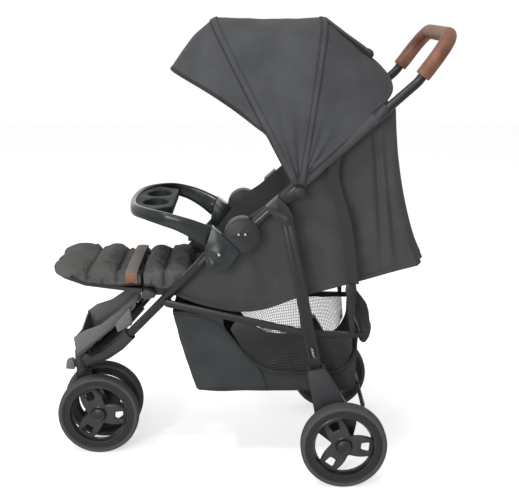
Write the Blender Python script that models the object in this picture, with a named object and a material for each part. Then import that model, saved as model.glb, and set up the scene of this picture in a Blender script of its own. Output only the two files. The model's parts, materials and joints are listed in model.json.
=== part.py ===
"""Three-wheeled folding stroller with canopy, tray, leg rest and basket.

Metres, +Z up, the child faces -Y and the handle is at +Y. Points in a side view are (y, z) pairs
with y measured from the rear axle. The finished model is moved along Y so that its origin is the
centre of its footprint on the ground.
"""
import math

import bpy
import bmesh
from mathutils import Vector

# Clearances
GAP = 0.0003
PIN_PLAY = 0.0005

# Wheels and axles
WHEEL_RADIUS = 0.100
WHEELBASE = 0.592
REAR_WHEEL_X = 0.240
FRONT_WHEEL_X = 0.050
REAR_TYRE_WIDTH = 0.040
FRONT_TYRE_WIDTH = 0.036
RIM_SEAT_RADIUS = 0.0880
RIM_INNER_RADIUS = 0.0665
WEB_THICKNESS = 0.010
WHEEL_HUB_RADIUS = 0.0165
SPOKE_COUNT = 3
SPOKE_ANGLE = 115.0
LENS_HALF_ANGLE = 40.0
LENS_INNER_RADIUS = 0.028
SPOKE_HOLE_RADIUS = 0.050
SPOKE_HOLE_WIDTH = 0.022
SPOKE_HOLE_HEIGHT = 0.019
REAR_AXLE_RADIUS = 0.006
REAR_AXLE_TUBE_RADIUS = 0.010
FRONT_AXLE_RADIUS = 0.005
HUB_CAP_THICKNESS = 0.004
CASTER_TRAIL = 0.043

# Side frame, each point (y, z) from the rear axle
TUBE_RADIUS = 0.0105
TUBE_X = 0.178
HUB = (-0.233, 0.585)
HUB_RADIUS = 0.040
HUB_SEAM_OFFSET = 0.029
TUBE_SOCKET_START = 0.020
TUBE_BEND = (0.152, 0.925)
HANDLE_TOP = (0.225, 1.024)
HANDLE_CORNER_RADIUS = 0.060
TUBE_BEND_RADIUS = 0.080
GRIP_RADIUS = 0.017
GRIP_FROM_BEND = 0.016
FRONT_PIVOT = (-0.285, 0.5425)
LEG_TOP = (-0.2965, 0.5534)
LEG_FOOT = (-0.515, 0.3148)
LEG_FOOT_X = 0.112
LEG_BEND_SHARE = 0.155
RAIL_FRONT = (-0.405, 0.420)
RAIL_REAR = (-0.0781, 0.3453)
RAIL_END = (0.060, 0.343)
REAR_LEG_PIVOT = (-0.1328, 0.6248)
CANOPY_HINGE = (-0.104, 0.685)

# Plates and thicknesses across X
HUB_X = (0.158, 0.1985)
ARMREST_X = (0.159, 0.1985)
LEG_SLOT_X = (0.1662, 0.1898)
REAR_LEG_X = (0.183, 0.197)
BRACKET_X = (0.1640, 0.2026)
FOOT_X = (0.178, 0.212)
RAIL_X = (0.1645, 0.1725)
REAR_LEG_HALF_WIDTH = 0.014
REAR_LEG_END_Z = 0.250
FOOT_TOP_Z = 0.272
PIN_RADIUS = 0.004

# Front casting and caster
CROWN_RADIUS = 0.0155
CROWN_SLEEVE = 0.022
SWIVEL_BOSS_RADIUS = 0.019
SWIVEL_BOSS_Z = (0.206, 0.250)
SWIVEL_PIN_RADIUS = 0.0085
SWIVEL_PIN_TOP = 0.238
FORK_HALF_THICKNESS = 0.013
FORK_BOSS_HALF = 0.031
FORK_TOP = 0.196

# Seat
SEAT_HALF_WIDTH = 0.126
SEAT_PAN_Z = (0.428, 0.440)
SEAT_PAN_Y = (-0.444, -0.192)
LEGREST_PAD_HALF_WIDTH = SEAT_HALF_WIDTH + 0.012
SEAT_PAD_HALF_WIDTH = SEAT_HALF_WIDTH + 0.0045
PAD_ROLL_TOP = 0.499
RECLINE_PIVOT = (-0.181, 0.430)
RECLINE_SLOPE = 16.0
RECLINE_BARREL = 0.007
RECLINE_LUG_X = (SEAT_HALF_WIDTH - 0.0035, SEAT_HALF_WIDTH)
BACKREST_LENGTH = 0.335
BACKREST_HALF_WIDTH = SEAT_HALF_WIDTH - 0.004
BACKREST_BOARD = 0.008
BACKREST_PAD = 0.026
LEGREST_PIVOT = (-0.456, 0.435)
LEGREST_BARREL = 0.009
LEGREST_LUG_X = (SEAT_HALF_WIDTH - 0.0155, SEAT_HALF_WIDTH + 0.024)
LEGREST_TIP = -0.680
BELT_X = 0.050
BELT_WIDTH = 0.024

# Canopy
BOW_FRONT_ANGLE = 117.6
BOW_REAR_ANGLE = 81.0
CANOPY_RISE = 0.3743
BOW_FRONT_DROP = 0.0017
BOW_FRONT_LENGTH = (CANOPY_RISE - BOW_FRONT_DROP) / math.sin(math.radians(BOW_FRONT_ANGLE))
BOW_REAR_LENGTH = CANOPY_RISE / math.sin(math.radians(BOW_REAR_ANGLE))
VISOR_LENGTH = 0.393
VISOR_REACH = 21.0
REAR_EDGE_LENGTH = 0.330
REAR_EDGE_ANGLE = 57.5
CANOPY_HALF_WIDTH = 0.1955
CANOPY_CLOTH = 0.0022
BOW_THICKNESS = 0.0018
BOW_WIDTH = 0.010
ARCH_POWER = 3.0

# Basket
BASKET_HALF_WIDTH = 0.138
BASKET_WALL = 0.0025
BASKET_FLOOR_Z = 0.188

FRONT_REACH = WHEELBASE + WHEEL_RADIUS
REAR_REACH = HANDLE_TOP[0] + GRIP_RADIUS
REAR_AXLE_Y = (FRONT_REACH - REAR_REACH) / 2
REAR_AXLE = (0.0, WHEEL_RADIUS)
FRONT_AXLE = (-WHEELBASE, WHEEL_RADIUS)
SWIVEL_Y = -WHEELBASE - CASTER_TRAIL
SIDES = (("near", 1.0), ("far", -1.0))


def spot(x, point):
    """World position of a side-view point at a given x."""
    return Vector((x, point[0] + REAR_AXLE_Y, point[1]))


def unit(start, end):
    """Unit side-view direction from start to end."""
    dy, dz = end[0] - start[0], end[1] - start[1]
    length = math.hypot(dy, dz)
    return dy / length, dz / length


def along(start, direction, distance, offset=0.0):
    """Point at a distance along a side-view direction and an offset to its right."""
    return (start[0] + direction[0] * distance + direction[1] * offset,
            start[1] + direction[1] * distance - direction[0] * offset)


TUBE_DIRECTION = unit(HUB, TUBE_BEND)
REAR_LEG_DIRECTION = unit(REAR_LEG_PIVOT, RAIL_REAR)
FRONT_LEG_DIRECTION = unit(LEG_TOP, LEG_FOOT)
RECLINE_DIRECTION = (math.cos(math.radians(RECLINE_SLOPE)), math.sin(math.radians(RECLINE_SLOPE)))


def remove_all_objects():
    """Empty the scene."""
    for item in list(bpy.data.objects):
        bpy.data.objects.remove(item, do_unlink=True)


def material(name, colour, roughness, metallic=0.0):
    """Principled material of one colour."""
    made = bpy.data.materials.new(name)
    made.use_nodes = True
    shader = made.node_tree.nodes["Principled BSDF"]
    shader.inputs["Base Color"].default_value = (*colour, 1.0)
    shader.inputs["Roughness"].default_value = roughness
    shader.inputs["Metallic"].default_value = metallic
    return made


remove_all_objects()
FRAME_BLACK = material("frame_black", (0.012, 0.012, 0.013), 0.35)
HOUSING_BLACK = material("housing_black", (0.018, 0.019, 0.020), 0.50)
TRAY_GLOSS = material("tray_gloss", (0.020, 0.022, 0.023), 0.22)
FOOTREST_GREY = material("footrest_grey", (0.110, 0.112, 0.115), 0.55)
SHELL_CLOTH = material("shell_cloth", (0.050, 0.051, 0.053), 0.90)
PAD_CLOTH = material("pad_cloth", (0.048, 0.048, 0.048), 0.90)
WEBBING = material("webbing", (0.010, 0.010, 0.011), 0.85)
BASKET_CLOTH = material("basket_cloth", (0.030, 0.030, 0.031), 0.92)
TAN_LEATHER = material("tan_leather", (0.290, 0.085, 0.032), 0.50)
TYRE_FOAM = material("tyre_foam", (0.014, 0.014, 0.015), 0.75)
RIM_BLACK = material("rim_black", (0.014, 0.015, 0.016), 0.38)
BRIGHT_STEEL = material("bright_steel", (0.62, 0.62, 0.63), 0.28, 1.0)

PIVOTS = {}


def pivot(name, x, point, parent=None):
    """Empty on a joint's axis, which carries the pieces of one moving body."""
    empty = bpy.data.objects.new(f"{name}_axis", None)
    bpy.context.scene.collection.objects.link(empty)
    place = spot(x, point)
    empty.location = place
    if parent:
        empty.parent = PIVOTS[parent][0]
        empty.location = place - PIVOTS[parent][1]
    PIVOTS[name] = (empty, place)


def make_object(name, bm, body, finish=None, smooth=35.0):
    """Turn a bmesh in world coordinates into an object carried by a body's empty."""
    empty, place = PIVOTS[body]
    bmesh.ops.remove_doubles(bm, verts=bm.verts, dist=1e-6)
    bmesh.ops.recalc_face_normals(bm, faces=bm.faces)
    bmesh.ops.translate(bm, verts=bm.verts, vec=-place)
    mesh = bpy.data.meshes.new(name)
    bm.to_mesh(mesh)
    bm.free()
    mesh.shade_smooth()
    mesh.set_sharp_from_angle(angle=math.radians(smooth))
    if finish:
        mesh.materials.append(finish)
    made = bpy.data.objects.new(name, mesh)
    bpy.context.scene.collection.objects.link(made)
    made.parent = empty
    return made


def combine(target, bm, body, operation):
    """Add a Boolean modifier whose other shape is a hidden guide object."""
    guide = make_object(f"{target.name}_guide_{len(target.modifiers)}", bm, body)
    guide.hide_render = True
    guide.display_type = "WIRE"
    boolean = target.modifiers.new(operation.lower(), "BOOLEAN")
    boolean.operation = operation
    boolean.solver = "EXACT"
    boolean.object = guide


def assemble(name, body, finish, base, add=(), cut=(), last=()):
    """Object made of a base shape, shapes joined to it, shapes cut from it and shapes joined last."""
    made = make_object(name, base, body, finish)
    for shape in add:
        combine(made, shape, body, "UNION")
    for shape in cut:
        combine(made, shape, body, "DIFFERENCE")
    for shape in last:
        combine(made, shape, body, "UNION")
    return made


def skin(rings, loop=False):
    """Closed body through rings of equal length; its ends are capped unless it closes on itself."""
    bm = bmesh.new()
    rows = [[bm.verts.new(point) for point in ring] for ring in rings]
    pairs = list(zip(rows, rows[1:]))
    if loop:
        pairs.append((rows[-1], rows[0]))
    count = len(rows[0])
    for first, second in pairs:
        for index in range(count):
            after = (index + 1) % count
            bm.faces.new((first[index], first[after], second[after], second[index]))
    if not loop:
        bm.faces.new(rows[0])
        bm.faces.new(rows[-1])
    return bm


def prism(outline, low, high):
    """Side-view outline of (y, z) points with a thickness from x = low to x = high."""
    return skin([[spot(x, point) for point in outline] for x in (low, high)])


def circle(centre, radius, count=20, start=0.0):
    """Points of a circle in the side view."""
    turns = (math.radians(start) + 2 * math.pi * index / count for index in range(count))
    return [(centre[0] + radius * math.cos(turn), centre[1] + radius * math.sin(turn)) for turn in turns]


def hull(points):
    """Convex outline of side-view points, counter-clockwise."""
    ordered = sorted(set(points))

    def half(run):
        chain = []
        for point in run:
            while len(chain) > 1 and cross(chain[-2], chain[-1], point) <= 1e-12:
                chain.pop()
            chain.append(point)
        return chain[:-1]

    return half(ordered) + half(reversed(ordered))


def cross(origin, first, second):
    """Twice the signed area of a triangle in the side view."""
    return ((first[0] - origin[0]) * (second[1] - origin[1])
            - (first[1] - origin[1]) * (second[0] - origin[0]))


def disc(centre, radius, low, high, count=20):
    """Cylinder along X."""
    return prism(circle(centre, radius, count), low, high)


def sweep(path, section, up=Vector((1, 0, 0)), inner=None):
    """Section of (u, v) offsets carried along a 3-D path; inner gives a tube's bore section."""
    frames = []
    for index, point in enumerate(path):
        ahead = path[min(index + 1, len(path) - 1)] - point
        behind = point - path[max(index - 1, 0)]
        tangent = (ahead.normalized() + behind.normalized()).normalized()
        side = (up - tangent * up.dot(tangent)).normalized()
        frames.append((point, side, tangent.cross(side)))
        up = side

    def ring(frame, offsets):
        point, side, other = frame
        return [point + side * u + other * v for u, v in offsets]

    rings = [ring(frame, section) for frame in frames]
    if inner:
        rings += [ring(frame, inner) for frame in reversed(frames)]
        return skin(rings, loop=True)
    return skin(rings)


def round_section(radius, count=12):
    """Circle of section offsets."""
    turns = (2 * math.pi * index / count for index in range(count))
    return [(radius * math.cos(turn), radius * math.sin(turn)) for turn in turns]


def bar(start, end, radius, count=16):
    """Round bar between two world points."""
    up = Vector((1, 0, 0)) if abs((end - start).normalized().x) < 0.9 else Vector((0, 1, 0))
    return sweep([start, end], round_section(radius, count), up)


def rounded(points, radii, steps=6):
    """Path through points with each inner corner replaced by an arc of its radius."""
    path = [points[0]]
    for before, corner, after, radius in zip(points, points[1:], points[2:], radii):
        back = (before - corner).normalized()
        forth = (after - corner).normalized()
        half = back.angle(forth) / 2
        reach = radius / math.tan(half)
        centre = corner + (back + forth).normalized() * (radius / math.sin(half))
        start = corner + back * reach - centre
        end = corner + forth * reach - centre
        turn = start.angle(end)
        for step in range(steps + 1):
            share = step / steps
            first = math.sin((1 - share) * turn) / math.sin(turn)
            second = math.sin(share * turn) / math.sin(turn)
            path.append(centre + start * first + end * second)
    path.append(points[-1])
    return path


def lathe(profile, centre, side=1.0, count=32, loop=False):
    """Turned body about an X axis; profile is (x offset, radius) and side mirrors it."""
    turns = [2 * math.pi * (index + 0.5) / count for index in range(count)]

    def at(dx, radius, turn):
        return Vector((side * (centre[0] + dx), centre[1] + REAR_AXLE_Y + radius * math.cos(turn),
                       centre[2] + radius * math.sin(turn)))

    if loop:
        return skin([[at(dx, radius, turn) for dx, radius in profile] for turn in turns], loop=True)
    return skin([[at(dx, radius, turn) for turn in turns] for dx, radius in profile])


def mirrored(shape, side):
    """Mirror a bmesh to the far side when side is negative."""
    if side < 0:
        bmesh.ops.scale(shape, verts=shape.verts, vec=(-1, 1, 1))
    return shape


def merged(*shapes):
    """Several separate closed shapes in one bmesh, for one Boolean."""
    whole = bmesh.new()
    for shape in shapes:
        mesh = bpy.data.meshes.new("part")
        bmesh.ops.recalc_face_normals(shape, faces=shape.faces)
        shape.to_mesh(mesh)
        shape.free()
        whole.from_mesh(mesh)
        bpy.data.meshes.remove(mesh)
    return whole


def build_pivots():
    """One empty for each moving body."""
    pivot("upper_frame", 0.0, HUB)
    pivot("front_frame", 0.0, FRONT_PIVOT, "upper_frame")
    pivot("caster", 0.0, (SWIVEL_Y, SWIVEL_BOSS_Z[0]), "front_frame")
    pivot("lock_lever", 0.0, LOCK_PLACE, "front_frame")
    pivot("front_wheel_near", FRONT_WHEEL_X, FRONT_AXLE, "caster")
    pivot("front_wheel_far", -FRONT_WHEEL_X, FRONT_AXLE, "caster")
    pivot("rear_frame", 0.0, REAR_LEG_PIVOT, "upper_frame")
    pivot("brake", 0.0, BRAKE_PIVOT, "rear_frame")
    pivot("rear_wheel_near", REAR_WHEEL_X, REAR_AXLE, "rear_frame")
    pivot("rear_wheel_far", -REAR_WHEEL_X, REAR_AXLE, "rear_frame")
    pivot("side_rails", 0.0, RAIL_FRONT, "front_frame")
    pivot("backrest", 0.0, RECLINE_PIVOT, "upper_frame")
    pivot("legrest", 0.0, LEGREST_PIVOT, "upper_frame")
    pivot("tray", 0.0, TRAY_ROOT_MIDDLE, "upper_frame")
    pivot("bow_rear", 0.0, CANOPY_HINGE, "upper_frame")
    pivot("bow_front", 0.0, CANOPY_HINGE, "bow_rear")
    pivot("window_flap", 0.0, FLAP_HINGE, "bow_rear")


# Handle, hubs and armrests

def handle_points():
    """Centre line of the whole U-shaped push handle."""
    low = along(HUB, TUBE_DIRECTION, TUBE_SOCKET_START + GAP)
    corners = [spot(TUBE_X, low), spot(TUBE_X, TUBE_BEND), spot(TUBE_X, HANDLE_TOP),
               spot(-TUBE_X, HANDLE_TOP), spot(-TUBE_X, TUBE_BEND), spot(-TUBE_X, low)]
    radii = [TUBE_BEND_RADIUS, HANDLE_CORNER_RADIUS, HANDLE_CORNER_RADIUS, TUBE_BEND_RADIUS]
    return rounded(corners, radii, steps=5)


def grip_points():
    """The stretch of the handle's centre line that the leather grip covers."""
    rise = unit(TUBE_BEND, HANDLE_TOP)
    start = along(TUBE_BEND, rise, GRIP_FROM_BEND)
    corners = [spot(TUBE_X, start), spot(TUBE_X, HANDLE_TOP), spot(-TUBE_X, HANDLE_TOP), spot(-TUBE_X, start)]
    return rounded(corners, [HANDLE_CORNER_RADIUS] * 2, steps=5)


def build_handle():
    """Push handle tube with its leather grip."""
    tube = sweep(handle_points(), round_section(TUBE_RADIUS, 12))
    make_object("handle_tube", tube, "upper_frame", FRAME_BLACK)
    grip = sweep(grip_points(), round_section(GRIP_RADIUS, 12), inner=round_section(TUBE_RADIUS + GAP, 12))
    make_object("handle_grip", grip, "upper_frame", TAN_LEATHER)


SEAM_NORMAL = (-math.sqrt(0.5), -math.sqrt(0.5))
SEAM_MIDDLE = (HUB[0] + SEAM_NORMAL[0] * HUB_SEAM_OFFSET, HUB[1] + SEAM_NORMAL[1] * HUB_SEAM_OFFSET)


def seam_point(distance, back=0.0):
    """Point on the seam between hub and armrest, moved back from it into the armrest."""
    return (SEAM_MIDDLE[0] - SEAM_NORMAL[1] * distance + SEAM_NORMAL[0] * back,
            SEAM_MIDDLE[1] + SEAM_NORMAL[0] * distance + SEAM_NORMAL[1] * back)


def hub_outline():
    """Round hub cut off along the seam."""
    def beyond(point):
        return (point[0] - HUB[0]) * SEAM_NORMAL[0] + (point[1] - HUB[1]) * SEAM_NORMAL[1]

    kept = [point for point in circle(HUB, HUB_RADIUS, 36) if beyond(point) < HUB_SEAM_OFFSET]
    return kept + [seam_point(-0.0275), seam_point(0.0275)]


def build_hubs():
    """Hub castings that hold the lower ends of the handle tube."""
    for name, side in SIDES:
        outer = HUB_X[1]
        body = mirrored(prism(hull(hub_outline()), HUB_X[0], outer - 0.003), side)
        cover = mirrored(prism(hull([along(HUB, (0, 1), (p[1] - HUB[1]) * 0.9, (p[0] - HUB[0]) * 0.9)
                                     for p in hub_outline()]), outer - 0.004, outer), side)
        rivets = [mirrored(disc((HUB[0] + dy, HUB[1] + 0.004), 0.0045, outer - 0.001, outer + 0.0015, 10), side)
                  for dy in (-0.0075, 0.0075)]
        start = spot(side * TUBE_X, along(HUB, TUBE_DIRECTION, TUBE_SOCKET_START))
        end = spot(side * TUBE_X, along(HUB, TUBE_DIRECTION, HUB_RADIUS * 2))
        socket = bar(start, end, TUBE_RADIUS + GAP)
        assemble(f"fold_hub_{name}", "upper_frame", HOUSING_BLACK, body, [cover, merged(*rivets)], [socket])


TRAY_ROOT = ((-0.301, 0.6035), (-0.3165, 0.5560))
TRAY_ROOT_MIDDLE = ((TRAY_ROOT[0][0] + TRAY_ROOT[1][0]) / 2, (TRAY_ROOT[0][1] + TRAY_ROOT[1][1]) / 2)
TRAY_DIRECTION = unit((0, 0), (-0.90, 0.44))
TONGUE_HALF_HEIGHT = 0.006
TONGUE_HALF_WIDTH = 0.007
TONGUE_DEPTH = 0.015


def tongue_outline(extra=0.0):
    """Side outline of the tray's tongue inside the armrest."""
    back = (-TRAY_DIRECTION[0], -TRAY_DIRECTION[1])
    reach = TONGUE_DEPTH + extra
    half = TONGUE_HALF_HEIGHT + extra
    return [along(TRAY_ROOT_MIDDLE, back, -0.012, half), along(TRAY_ROOT_MIDDLE, back, reach, half),
            along(TRAY_ROOT_MIDDLE, back, reach, -half), along(TRAY_ROOT_MIDDLE, back, -0.012, -half)]


def leg_slot_outline():
    """Room that the front leg's eye and tube sweep inside the armrest while folding."""
    points = circle(FRONT_PIVOT, 0.0170, 24)
    top_y, top_z = LEG_TOP[0] - FRONT_PIVOT[0], LEG_TOP[1] - FRONT_PIVOT[1]
    half = TUBE_RADIUS + 0.0035
    for degrees in (0, 30, 60, 90):
        turn = math.radians(degrees)
        dy, dz = FRONT_LEG_DIRECTION
        way = (dy * math.cos(turn) - dz * math.sin(turn), dy * math.sin(turn) + dz * math.cos(turn))
        for offset in (-half, half):
            points.append(along(FRONT_PIVOT, way, 0.090, offset))
        centre = (FRONT_PIVOT[0] + top_y * math.cos(turn) - top_z * math.sin(turn),
                  FRONT_PIVOT[1] + top_y * math.sin(turn) + top_z * math.cos(turn))
        points += circle(centre, TUBE_RADIUS + 0.0013, 16)
    leg_side = along(LEG_TOP, FRONT_LEG_DIRECTION, 0.070, TUBE_RADIUS + 0.003)
    return hull(points + [leg_side])


def build_armrests():
    """Armrest housings: they carry the front legs' pivots and the tray's sockets."""
    outline = [seam_point(-0.0265, GAP), seam_point(0.0225, GAP), (-0.262, 0.514), (-0.276, 0.502),
               (-0.310, 0.506), (-0.3175, 0.530), (TRAY_ROOT[1][0] + GAP, TRAY_ROOT[1][1]),
               (TRAY_ROOT[0][0] + GAP, TRAY_ROOT[0][1])]
    for name, side in SIDES:
        body = mirrored(prism(outline, *ARMREST_X), side)
        screws = [mirrored(disc(centre, radius, ARMREST_X[1] - 0.001, ARMREST_X[1] + rise, 12), side)
                  for centre, radius, rise in ((FRONT_PIVOT, 0.0085, 0.0025), ((-0.299, 0.519), 0.004, 0.0015))]
        slot = mirrored(prism(leg_slot_outline(), *LEG_SLOT_X), side)
        tongue_x = (TUBE_X - TONGUE_HALF_WIDTH - GAP, TUBE_X + TONGUE_HALF_WIDTH + GAP)
        socket = mirrored(prism(tongue_outline(GAP), *tongue_x), side)
        pin = mirrored(disc(FRONT_PIVOT, PIN_RADIUS, ARMREST_X[0] + 0.002, ARMREST_X[1] - 0.002, 12), side)
        assemble(f"armrest_{name}", "upper_frame", TRAY_GLOSS, body, [merged(*screws)], [slot, socket], [pin])


# Rear-leg brackets

BRACKET_NORMAL = (TUBE_DIRECTION[1], -TUBE_DIRECTION[0])
PIVOT_BELOW_TUBE = ((REAR_LEG_PIVOT[0] - HUB[0]) * BRACKET_NORMAL[0]
                    + (REAR_LEG_PIVOT[1] - HUB[1]) * BRACKET_NORMAL[1])
BRACKET_TOP = (REAR_LEG_PIVOT[0] - BRACKET_NORMAL[0] * PIVOT_BELOW_TUBE,
               REAR_LEG_PIVOT[1] - BRACKET_NORMAL[1] * PIVOT_BELOW_TUBE)


def build_brackets():
    """Clevis castings on the tube that hold the rear legs and the canopy's hinge pins."""
    plate = hull([along(BRACKET_TOP, TUBE_DIRECTION, t, n) for t, n in
                  ((-0.018, -0.0135), (0.018, -0.0135), (0.020, 0.020), (-0.020, 0.020))]
                 + circle(REAR_LEG_PIVOT, 0.0155))
    strap = hull([along(BRACKET_TOP, TUBE_DIRECTION, 0.010, n) for n in (-0.009, 0.009)]
                 + circle(CANOPY_HINGE, 0.0105))
    slot_top = PIVOT_BELOW_TUBE - 0.0175
    slot = [along(BRACKET_TOP, TUBE_DIRECTION, t, n) for t, n in
            ((-0.045, slot_top), (0.045, slot_top), (0.045, 0.080), (-0.045, 0.080))]
    leg_low, leg_high = REAR_LEG_X
    for name, side in SIDES:
        body = mirrored(prism(plate, *BRACKET_X), side)
        arm = mirrored(prism(strap, TUBE_X + TUBE_RADIUS + GAP, TUBE_X + TUBE_RADIUS + 0.0018), side)
        screws = [mirrored(disc(centre, 0.0055, BRACKET_X[1] - 0.001, BRACKET_X[1] + 0.0015, 10), side)
                  for centre in (along(BRACKET_TOP, TUBE_DIRECTION, 0.0, 0.002), REAR_LEG_PIVOT)]
        bore = bar(spot(side * TUBE_X, along(BRACKET_TOP, TUBE_DIRECTION, -0.06)),
                   spot(side * TUBE_X, along(BRACKET_TOP, TUBE_DIRECTION, 0.06)), TUBE_RADIUS + GAP)
        room = mirrored(prism(slot, leg_low - GAP, leg_high + GAP), side)
        pin = mirrored(disc(REAR_LEG_PIVOT, PIN_RADIUS, BRACKET_X[0] + 0.002, BRACKET_X[1] - 0.002, 12), side)
        outer = BRACKET_X[1]
        hinge = mirrored(disc(CANOPY_HINGE, PIN_RADIUS, TUBE_X + TUBE_RADIUS + 0.001, outer - 0.001, 12), side)
        cap = mirrored(disc(CANOPY_HINGE, 0.0115, outer - 0.0055, outer - 0.0005, 16), side)
        assemble(f"leg_bracket_{name}", "upper_frame", HOUSING_BLACK, body,
                 [arm, merged(*screws)], [bore, room], [pin, hinge, cap])


# Tray

TRAY_STATIONS = ((0.1800, TRAY_ROOT[0], TRAY_ROOT[1]), (0.1900, (-0.340, 0.620), (-0.346, 0.578)),
                 (0.1930, (-0.375, 0.631), (-0.380, 0.597)), (0.1860, (-0.412, 0.639), (-0.417, 0.609)),
                 (0.1560, (-0.452, 0.642), (-0.455, 0.616)), (0.1020, (-0.482, 0.642), (-0.484, 0.615)),
                 (0.0, (-0.4935, 0.640), (-0.494, 0.612)))
TRAY_BAND_THICKNESS = 0.014
CUP_CENTRE = (0.055, -0.438)
CUP_RADII = (0.040, 0.032)
CUP_DEPTH = 0.018
DECK_BACK_Y = -0.395
DECK_THICKNESS = 0.021


def tray_rings():
    """Rings of the tray's band from the near armrest round the front to the far one."""
    half = []
    last = len(TRAY_STATIONS) - 1
    for index, (x, top, bottom) in enumerate(TRAY_STATIONS):
        before = TRAY_STATIONS[max(index - 1, 0)]
        after = TRAY_STATIONS[min(index + 1, last)]
        way = Vector((after[0] - before[0], after[1][0] - before[1][0])).normalized()
        outward = Vector((-way.y, way.x, 0)) * (TRAY_BAND_THICKNESS / 2)
        if index == 0:
            outward = Vector((TRAY_BAND_THICKNESS / 2, 0, 0))
        elif index == last:
            outward = Vector((0, -TRAY_BAND_THICKNESS / 2, 0))
        away = GAP if index == 0 else 0.0
        high = spot(x, (top[0] - away, top[1]))
        low = spot(x, (bottom[0] - away, bottom[1]))
        rise = (high - low).normalized() * 0.004
        half.append([high - outward - rise * 0.5, high + outward * 0.5, high + outward - rise,
                     low + outward + rise, low + outward * 0.5, low - outward])
    far = [[side_vector(point, -1) for point in ring] for ring in reversed(half[:-1])]
    return half + far


def build_tray():
    """Snap-on tray: a band round the front, a deck with two cup recesses, and two tongues."""
    band = skin(tray_rings())
    front = [(x, top[0] + 0.001) for x, top, _ in TRAY_STATIONS[4:]]
    back = [(-0.110, DECK_BACK_Y), (0.110, DECK_BACK_Y)]
    plan = front + [(-x, y) for x, y in reversed(front[:-1])] + back
    top = TRAY_STATIONS[-1][1][1] - 0.004
    deck = skin([[Vector((x, y + REAR_AXLE_Y, z)) for x, y in plan] for z in (top - DECK_THICKNESS, top)])
    cups = []
    for side in (1, -1):
        cups.append(skin([[Vector((side * CUP_CENTRE[0] + CUP_RADII[0] * math.cos(a) * k,
                                   CUP_CENTRE[1] + REAR_AXLE_Y + CUP_RADII[1] * math.sin(a) * k, z))
                           for a in (2 * math.pi * i / 20 for i in range(20))]
                          for k, z in ((0.90, top - CUP_DEPTH + 0.004), (1.0, top + 0.010))]))
    tongues = [mirrored(prism(tongue_outline(), TUBE_X - TONGUE_HALF_WIDTH, TUBE_X + TONGUE_HALF_WIDTH), side)
               for _, side in SIDES]
    assemble("tray", "tray", TRAY_GLOSS, band, [deck, merged(*tongues)], cups)


# Front frame

def leg_centre(share):
    """Point on the near front leg's centre line, share 0 at the top and 1 at the foot."""
    inward = max(share - LEG_BEND_SHARE, 0.0) / (1 - LEG_BEND_SHARE)
    x = TUBE_X + (LEG_FOOT_X - TUBE_X) * inward
    y = LEG_TOP[0] + (LEG_FOOT[0] - LEG_TOP[0]) * share
    z = LEG_TOP[1] + (LEG_FOOT[1] - LEG_TOP[1]) * share
    return spot(x, (y, z))


def side_vector(vector, side):
    """Vector with its x mirrored for the far side."""
    return Vector((vector.x * side, vector.y, vector.z))


def build_front_legs():
    """Front leg tubes with an eye at the fold pivot and a boss for the side rail."""
    rail_share = (RAIL_FRONT[0] - LEG_TOP[0]) / (LEG_FOOT[0] - LEG_TOP[0])
    rail_x = leg_centre(rail_share).x
    low, high = LEG_SLOT_X
    for name, side in SIDES:
        line = [side_vector(leg_centre(share), side) for share in (0.0, LEG_BEND_SHARE, 1.0)]
        tube = sweep(line, round_section(TUBE_RADIUS, 16))
        eye_outline = hull(circle(FRONT_PIVOT, 0.0150, 20) + circle(LEG_TOP, 0.0095, 16))
        eye = mirrored(prism(eye_outline, low + GAP, high - GAP), side)
        boss = mirrored(disc(RAIL_FRONT, 0.0085, rail_x, RAIL_X[0] - GAP, 16), side)
        hole = mirrored(disc(FRONT_PIVOT, PIN_RADIUS + PIN_PLAY, low - 0.002, high + 0.002, 12), side)
        assemble(f"front_leg_{name}", "front_frame", FRAME_BLACK, tube, [eye, boss], [hole])


def crown_path():
    """Centre line of the front casting from the near leg's socket to the far one."""
    socket_share = 1 - CROWN_SLEEVE / (leg_centre(1) - leg_centre(0)).length
    half = [leg_centre(socket_share), leg_centre(1.06), spot(0.080, (-0.565, 0.268)),
            spot(0.040, (-0.612, 0.236)), spot(0.0, (SWIVEL_Y + 0.006, 0.230))]
    far = [side_vector(point, -1) for point in reversed(half[:-1])]
    return half + far


LOCK_PLACE = (SWIVEL_Y - 0.0195, 0.213)
LOCK_TRAVEL = 0.006


def build_crown():
    """Front casting that joins both front legs over the swivel of the twin wheels."""
    arms = sweep(crown_path(), round_section(CROWN_RADIUS, 12), up=Vector((0, 1, 0)))
    boss_low, boss_high = SWIVEL_BOSS_Z
    centre = Vector((0, SWIVEL_Y + REAR_AXLE_Y, 0))
    boss = bar(centre + Vector((0, 0, boss_low)), centre + Vector((0, 0, boss_high)), SWIVEL_BOSS_RADIUS, 20)
    bore = bar(centre + Vector((0, 0, boss_low - 0.01)), centre + Vector((0, 0, SWIVEL_PIN_TOP + GAP)),
               SWIVEL_PIN_RADIUS + GAP, 16)
    sockets = [bar(side_vector(leg_centre(0.5), side), side_vector(leg_centre(1.001), side), TUBE_RADIUS + GAP)
               for _, side in SIDES]
    assemble("front_crown", "front_frame", HOUSING_BLACK, arms, [boss], [bore, merged(*sockets)])


FOOTREST_STATIONS = (((-0.500, 0.374), (-0.490, 0.412), 0.100), ((-0.540, 0.338), (-0.530, 0.379), 0.104),
                     ((-0.580, 0.304), (-0.572, 0.349), 0.110), ((-0.612, 0.277), (-0.612, 0.335), 0.113),
                     ((-0.624, 0.266), (-0.630, 0.322), 0.110))
FOOTREST_WALL = 0.003


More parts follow.
